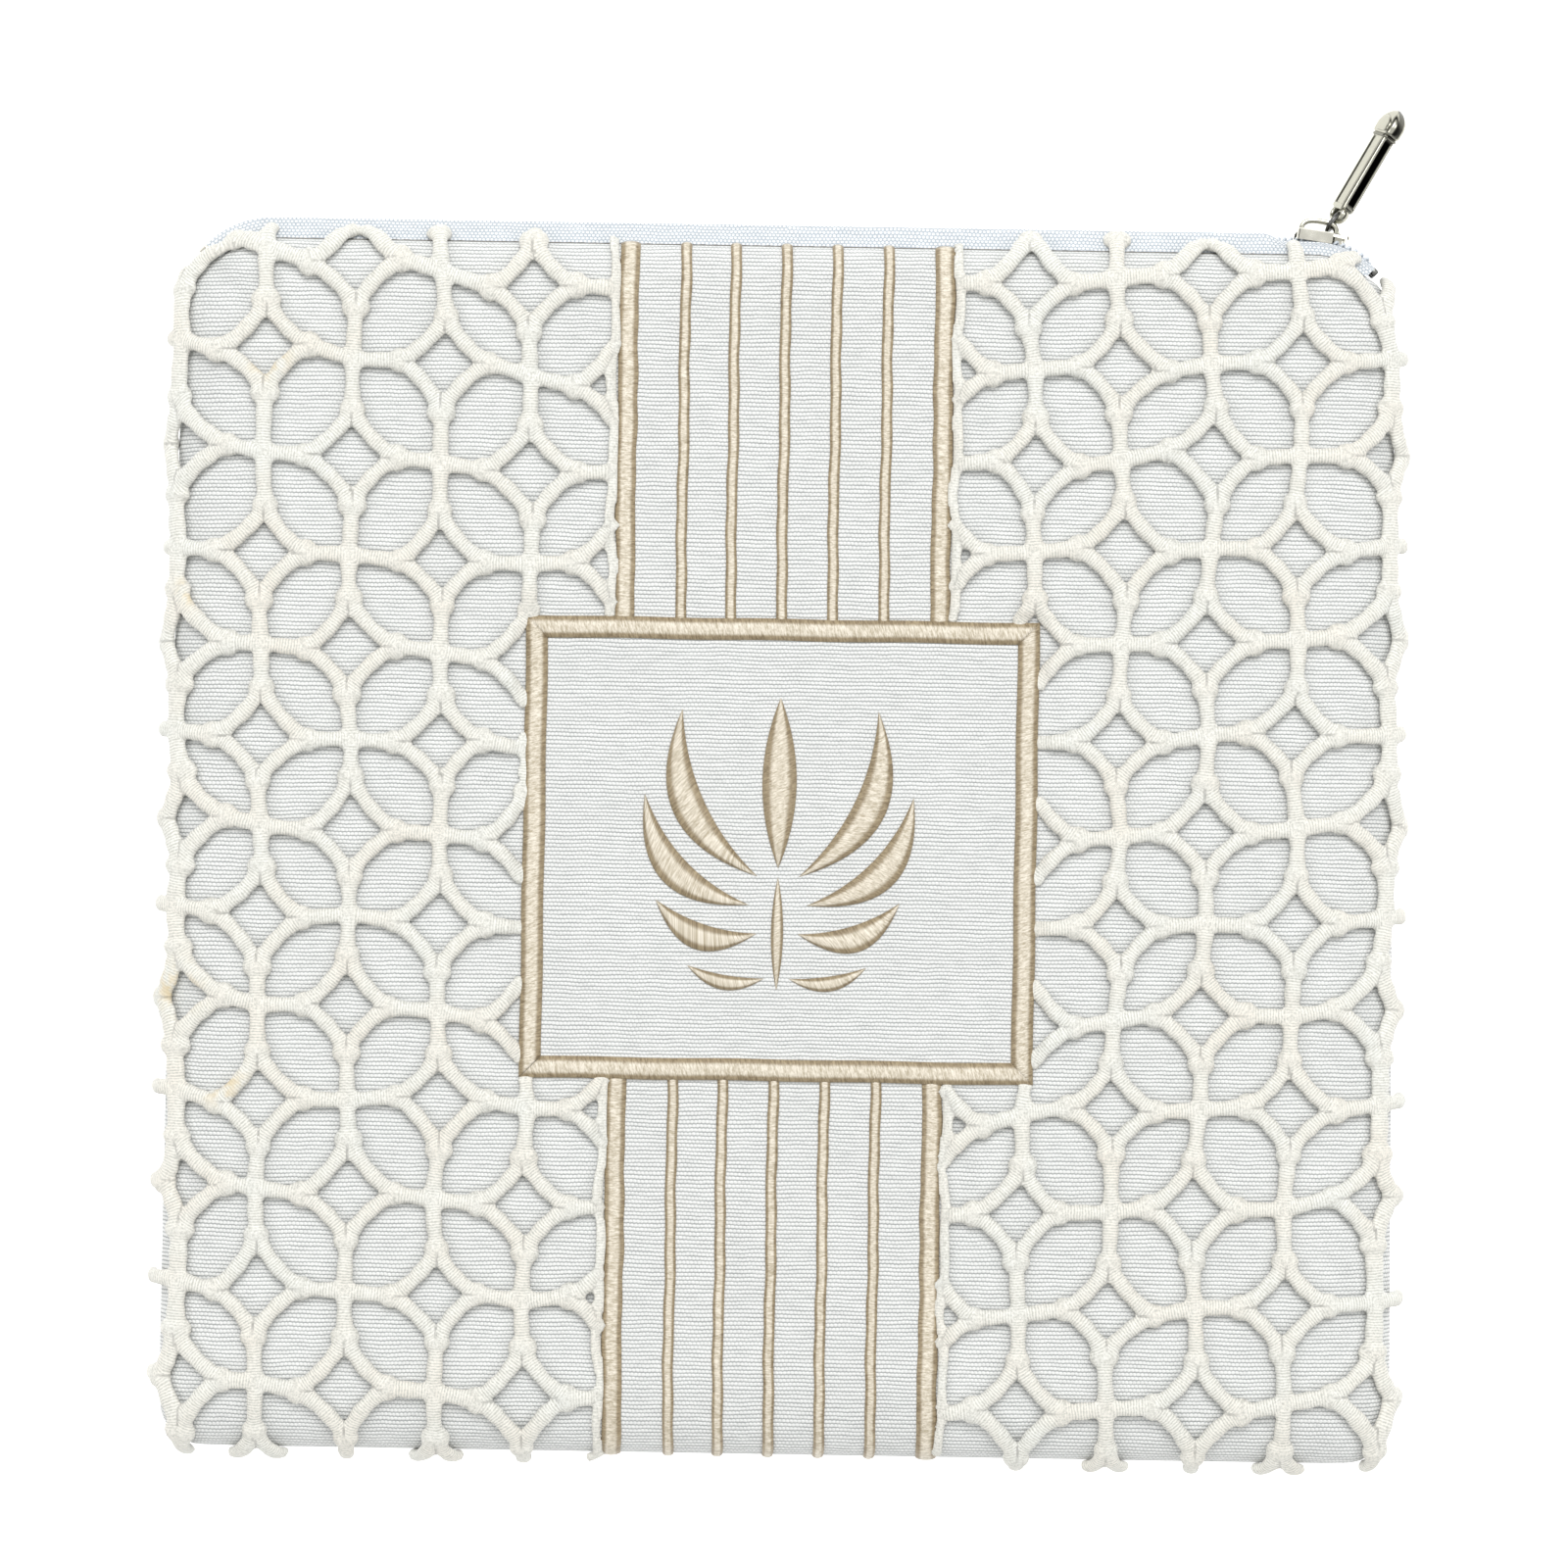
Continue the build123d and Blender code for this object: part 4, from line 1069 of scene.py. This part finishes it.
def ring_body(major, minor_w, minor_f):
    """Flat ring about the origin, in the plane of the first two axes."""
    steps, ring = 40, 14
    a, b = circle(steps)[:, None], circle(ring)
    radius = major + minor_w * np.cos(b)
    points = np.stack([radius * np.cos(a), radius * np.sin(a),
                       np.broadcast_to(minor_f * np.sin(b), (steps, ring))], 2).reshape(-1, 3)
    faces = [(i * ring + k, (i + 1) % steps * ring + k, (i + 1) % steps * ring + (k + 1) % ring,
              i * ring + (k + 1) % ring) for i in range(steps) for k in range(ring)]
    return points, faces


TAB_ANGLE, TAB_ROLL, TAB_LENGTH = math.radians(60.5), math.radians(54), 29.6
BAR_FROM, BAR_TO, BAR_HALF_WIDTH, BAR_HALF_DEPTH = 0.9, 22.8, 2.5, 2.0
PANEL_HALF, PANEL_DEPTH, PANEL_MARGIN = 1.35, 0.28, 1.4
FLUTE_HALF, FLUTE_DEPTH = 0.75, 0.3


def make_pull():
    """Pull tab: eye, bar with a sunk panel in its face and fluted sides, and a pointed finial."""
    joint = next(j for j in frame["record"]["behaviour"]["joints"] if j["name"] == "tab_swing")
    pivot = np.array(joint["pos_m"]) / MM
    along = np.array([math.cos(TAB_ANGLE), math.sin(TAB_ANGLE), 0])
    face = (math.cos(TAB_ROLL) * np.array([0, 0, 1])
            + math.sin(TAB_ROLL) * np.array([-along[1], along[0], 0]))
    axes = np.stack([along, np.cross(face, along), face])
    t = np.linspace(BAR_FROM, BAR_TO, 200)
    end = np.minimum(t - BAR_FROM, BAR_TO - t)
    round_off = 1 - 0.25 * (1 - ease(end / 0.8)) ** 2
    bar, bar_faces = loft(np.column_stack([t, BAR_HALF_WIDTH * round_off, BAR_HALF_DEPTH * round_off]),
                          120, 5.5)
    from_end = np.minimum(bar[:, 0] - BAR_FROM, BAR_TO - bar[:, 0])
    within = ease(from_end / PANEL_MARGIN - 0.5)
    flute = (within * (np.abs(bar[:, 1]) > BAR_HALF_WIDTH * 0.8)
             * ease(2.2 - np.abs(bar[:, 2]) / FLUTE_HALF))
    panel = ((bar[:, 2] > BAR_HALF_DEPTH * 0.75) & (np.abs(bar[:, 1]) < PANEL_HALF)
             & (bar[:, 0] > BAR_FROM + PANEL_MARGIN) & (bar[:, 0] < BAR_TO - PANEL_MARGIN))
    bar[:, 1] -= np.sign(bar[:, 1]) * FLUTE_DEPTH * flute
    bar[panel, 2] -= PANEL_DEPTH
    rim = within * (np.abs(np.abs(bar[:, 1]) - PANEL_HALF) < 0.2) * (bar[:, 2] > BAR_HALF_DEPTH * 0.7)
    shape = [(22.3, 2.3, 1.9), (22.5, 3.0, 2.2), (23.0, 3.5, 2.4), (25.3, 3.6, 2.4), (26.8, 3.1, 2.3),
             (28.0, 2.2, 1.9), (29.0, 1.2, 1.3), (TAB_LENGTH, 0.3, 0.4)]
    tip, tip_faces = loft(shape, 48, 4.4)
    collar, collar_faces = loft([(21.6, 2.6, 2.2), (21.8, 2.8, 2.4), (22.1, 2.8, 2.4),
                                 (22.4, 2.5, 2.2)], 48)
    heart, heart_faces = loft([(22.9, 1.2, 0.3), (23.2, 2.4, 0.4), (25.2, 2.4, 0.4), (26.6, 1.4, 0.35),
                               (27.3, 0.3, 0.2)], 32, 3.0)
    heart[:, 2] += 2.4
    eye, eye_faces = ring_body(1.95, 0.6, 1.3)
    # The groove values mark painted dark reflections: black in the fluted sides and along the sunk
    # panel's edges, half dark on the collar, and dark along the finial's sides.
    parts = ((eye, eye_faces, np.zeros(len(eye))),
             (bar, bar_faces, np.clip(flute + 0.8 * rim, 0, 1)),
             (collar, collar_faces, np.full(len(collar), 0.5)),
             (tip, tip_faces, 0.75 * (np.abs(tip[:, 2]) < 1.1)),
             (heart, heart_faces, np.zeros(len(heart))))
    points, faces, values = join([(spots, around, {"groove": groove}) for spots, around, groove in parts])
    return piece("pull_tab_detail", pivot + points @ axes, faces, pull_nickel, **values)


SLIDER_AT, SLIDER_TILT, BRIDGE_BASE = (130.8, 149.86), math.radians(-8.5), 3.90


def make_bridge():
    """Broad strap that arches over the slider and holds the link ring."""
    line = np.array([(-5.6, -0.3), (-5.5, 1.0), (-5.0, 1.9), (-4.0, 2.5), (-2.6, 2.75), (-0.8, 2.8),
                     (1.0, 2.75), (2.1, 2.45), (2.9, 1.8), (3.3, 0.9), (3.4, -0.3)])
    line = resample(np.linspace(0, len(line) - 1, 80), np.arange(len(line)), line)
    for _ in range(30):
        line[1:-1] = (line[:-2] + 2 * line[1:-1] + line[2:]) / 4
    tangent = unit(np.gradient(line, axis=0))
    out = np.column_stack([-tangent[:, 1], tangent[:, 0]])
    body, faces = loft([(k, 1.5, 0.68) for k in range(len(line))], 32, 3.5)
    index = body[:, 0].astype(int)
    flat = line[index] + body[:, 2:3] * out[index]
    along = np.array([math.cos(SLIDER_TILT), math.sin(SLIDER_TILT)])
    across = np.array([-along[1], along[0]])
    xy = np.array(SLIDER_AT) + flat[:, :1] * along + (BRIDGE_BASE + flat[:, 1:2]) * across
    return piece("slider_bridge_strap", np.column_stack([xy, MID_Z - body[:, 1]]), faces, pull_nickel)


def stop(name, way):
    """Small metal clip over the right end of the coil."""
    angle = math.radians(90 - GUSSET_ARC)
    out = np.array([math.cos(angle), math.sin(angle), 0])
    along = np.array([math.sin(angle), -math.cos(angle), 0])
    body, faces = loft([(-0.9, 0.6, 0.7), (-0.6, 0.85, 0.95), (0.7, 0.85, 0.95),
                        (1.0, 0.6, 0.7)], 28, 3.5)
    spot = np.append(TOP_CORNER.centre, MID_Z + way * 1.6)
    spot += out * (TOP_RADIUS + TAPE_OUT + 0.2) + along * 0.4
    return piece(name, spot + body @ np.stack([along, np.array([0, 0, 1.0]), out]), faces, dark_nickel)


fixed(make_pull(), "pull", "pull_tab")
fixed(make_bridge(), "slider", "slider_bridge")
fixed(stop("back_top_stop_clip", -1), "back", "back_top_stop")
fixed(stop("front_top_stop_clip", 1), "back", "front_top_stop")
for node, material in (("slider_body", nickel), ("link_ring", dark_nickel), ("bottom_stop", nickel)):
    mesh = frame["nodes"][node].data
    mesh.materials.clear()
    mesh.materials.append(material)

# ---- floor, light and camera
n = Nodes("floor", srgb(252, 252, 252), 0.9)
n.shader.inputs["Emission Color"].default_value = (1, 1, 1, 1)
n.shader.inputs["Emission Strength"].default_value = 0.45
n.set(Base_Color=n.mix(n.noise(n.where(), 3.0), srgb(250, 250, 250), srgb(253, 253, 253)))
bpy.ops.mesh.primitive_plane_add(size=12, location=(0, 0, -0.0004))
floor = bpy.context.object
floor.name = "floor"
floor.data.materials.append(n.material)


for name, spot, width, watts in (("key", (0.1, 1.5, 2.6), 1.7, 47),
                                 ("fill_left", (-1.8, 0.2, 1.8), 0.8, 7),
                                 ("fill_right", (1.8, 0.2, 1.8), 0.8, 7)):
    light = bpy.data.lights.new(name, "AREA")
    light.shape, light.size, light.size_y, light.energy = "RECTANGLE", width, 1.2, watts
    lamp = in_scene(name, light)
    lamp.location = spot
    lamp.rotation_mode = "QUATERNION"
    lamp.rotation_quaternion = (-Vector(spot)).to_track_quat("-Z", "Y")

# Bright overhead and at the horizon, darker between, for reflections in the metal
world = bpy.data.worlds.new("studio")
bpy.context.scene.world = world
world.use_nodes = True
tree = world.node_tree
background = tree.nodes["Background"]
coordinate, split, ramp = (tree.nodes.new("ShaderNode" + kind)
                           for kind in ("TexCoord", "SeparateXYZ", "ValToRGB"))
tree.links.new(coordinate.outputs["Generated"], split.inputs[0])
tree.links.new(split.outputs[2], ramp.inputs[0])
tree.links.new(ramp.outputs[0], background.inputs[0])
bands = ((0.0, 0.95), (0.16, 0.95), (0.22, 0.04), (0.46, 0.05), (0.58, 0.95), (1.0, 1.0))
for index, (height, value) in enumerate(bands):
    band = ramp.color_ramp.elements[index] if index < 2 else ramp.color_ramp.elements.new(height)
    band.position, band.color = height, (value, value, value * 0.99, 1)

# From straight over the middle of the face, turned by a degree
camera_data = bpy.data.cameras.new("camera")
camera_data.lens, camera_data.sensor_width = 100, 36
camera_data.clip_start, camera_data.clip_end = 0.05, 50
camera = in_scene("camera", camera_data)
camera.location = (-0.0001, 0.0148, 1.093)
camera.rotation_euler = (0, 0, math.radians(0.95))
scene = bpy.context.scene
scene.camera = camera
scene.view_settings.view_transform, scene.view_settings.look = "Standard", "None"

bpy.context.view_layer.update()
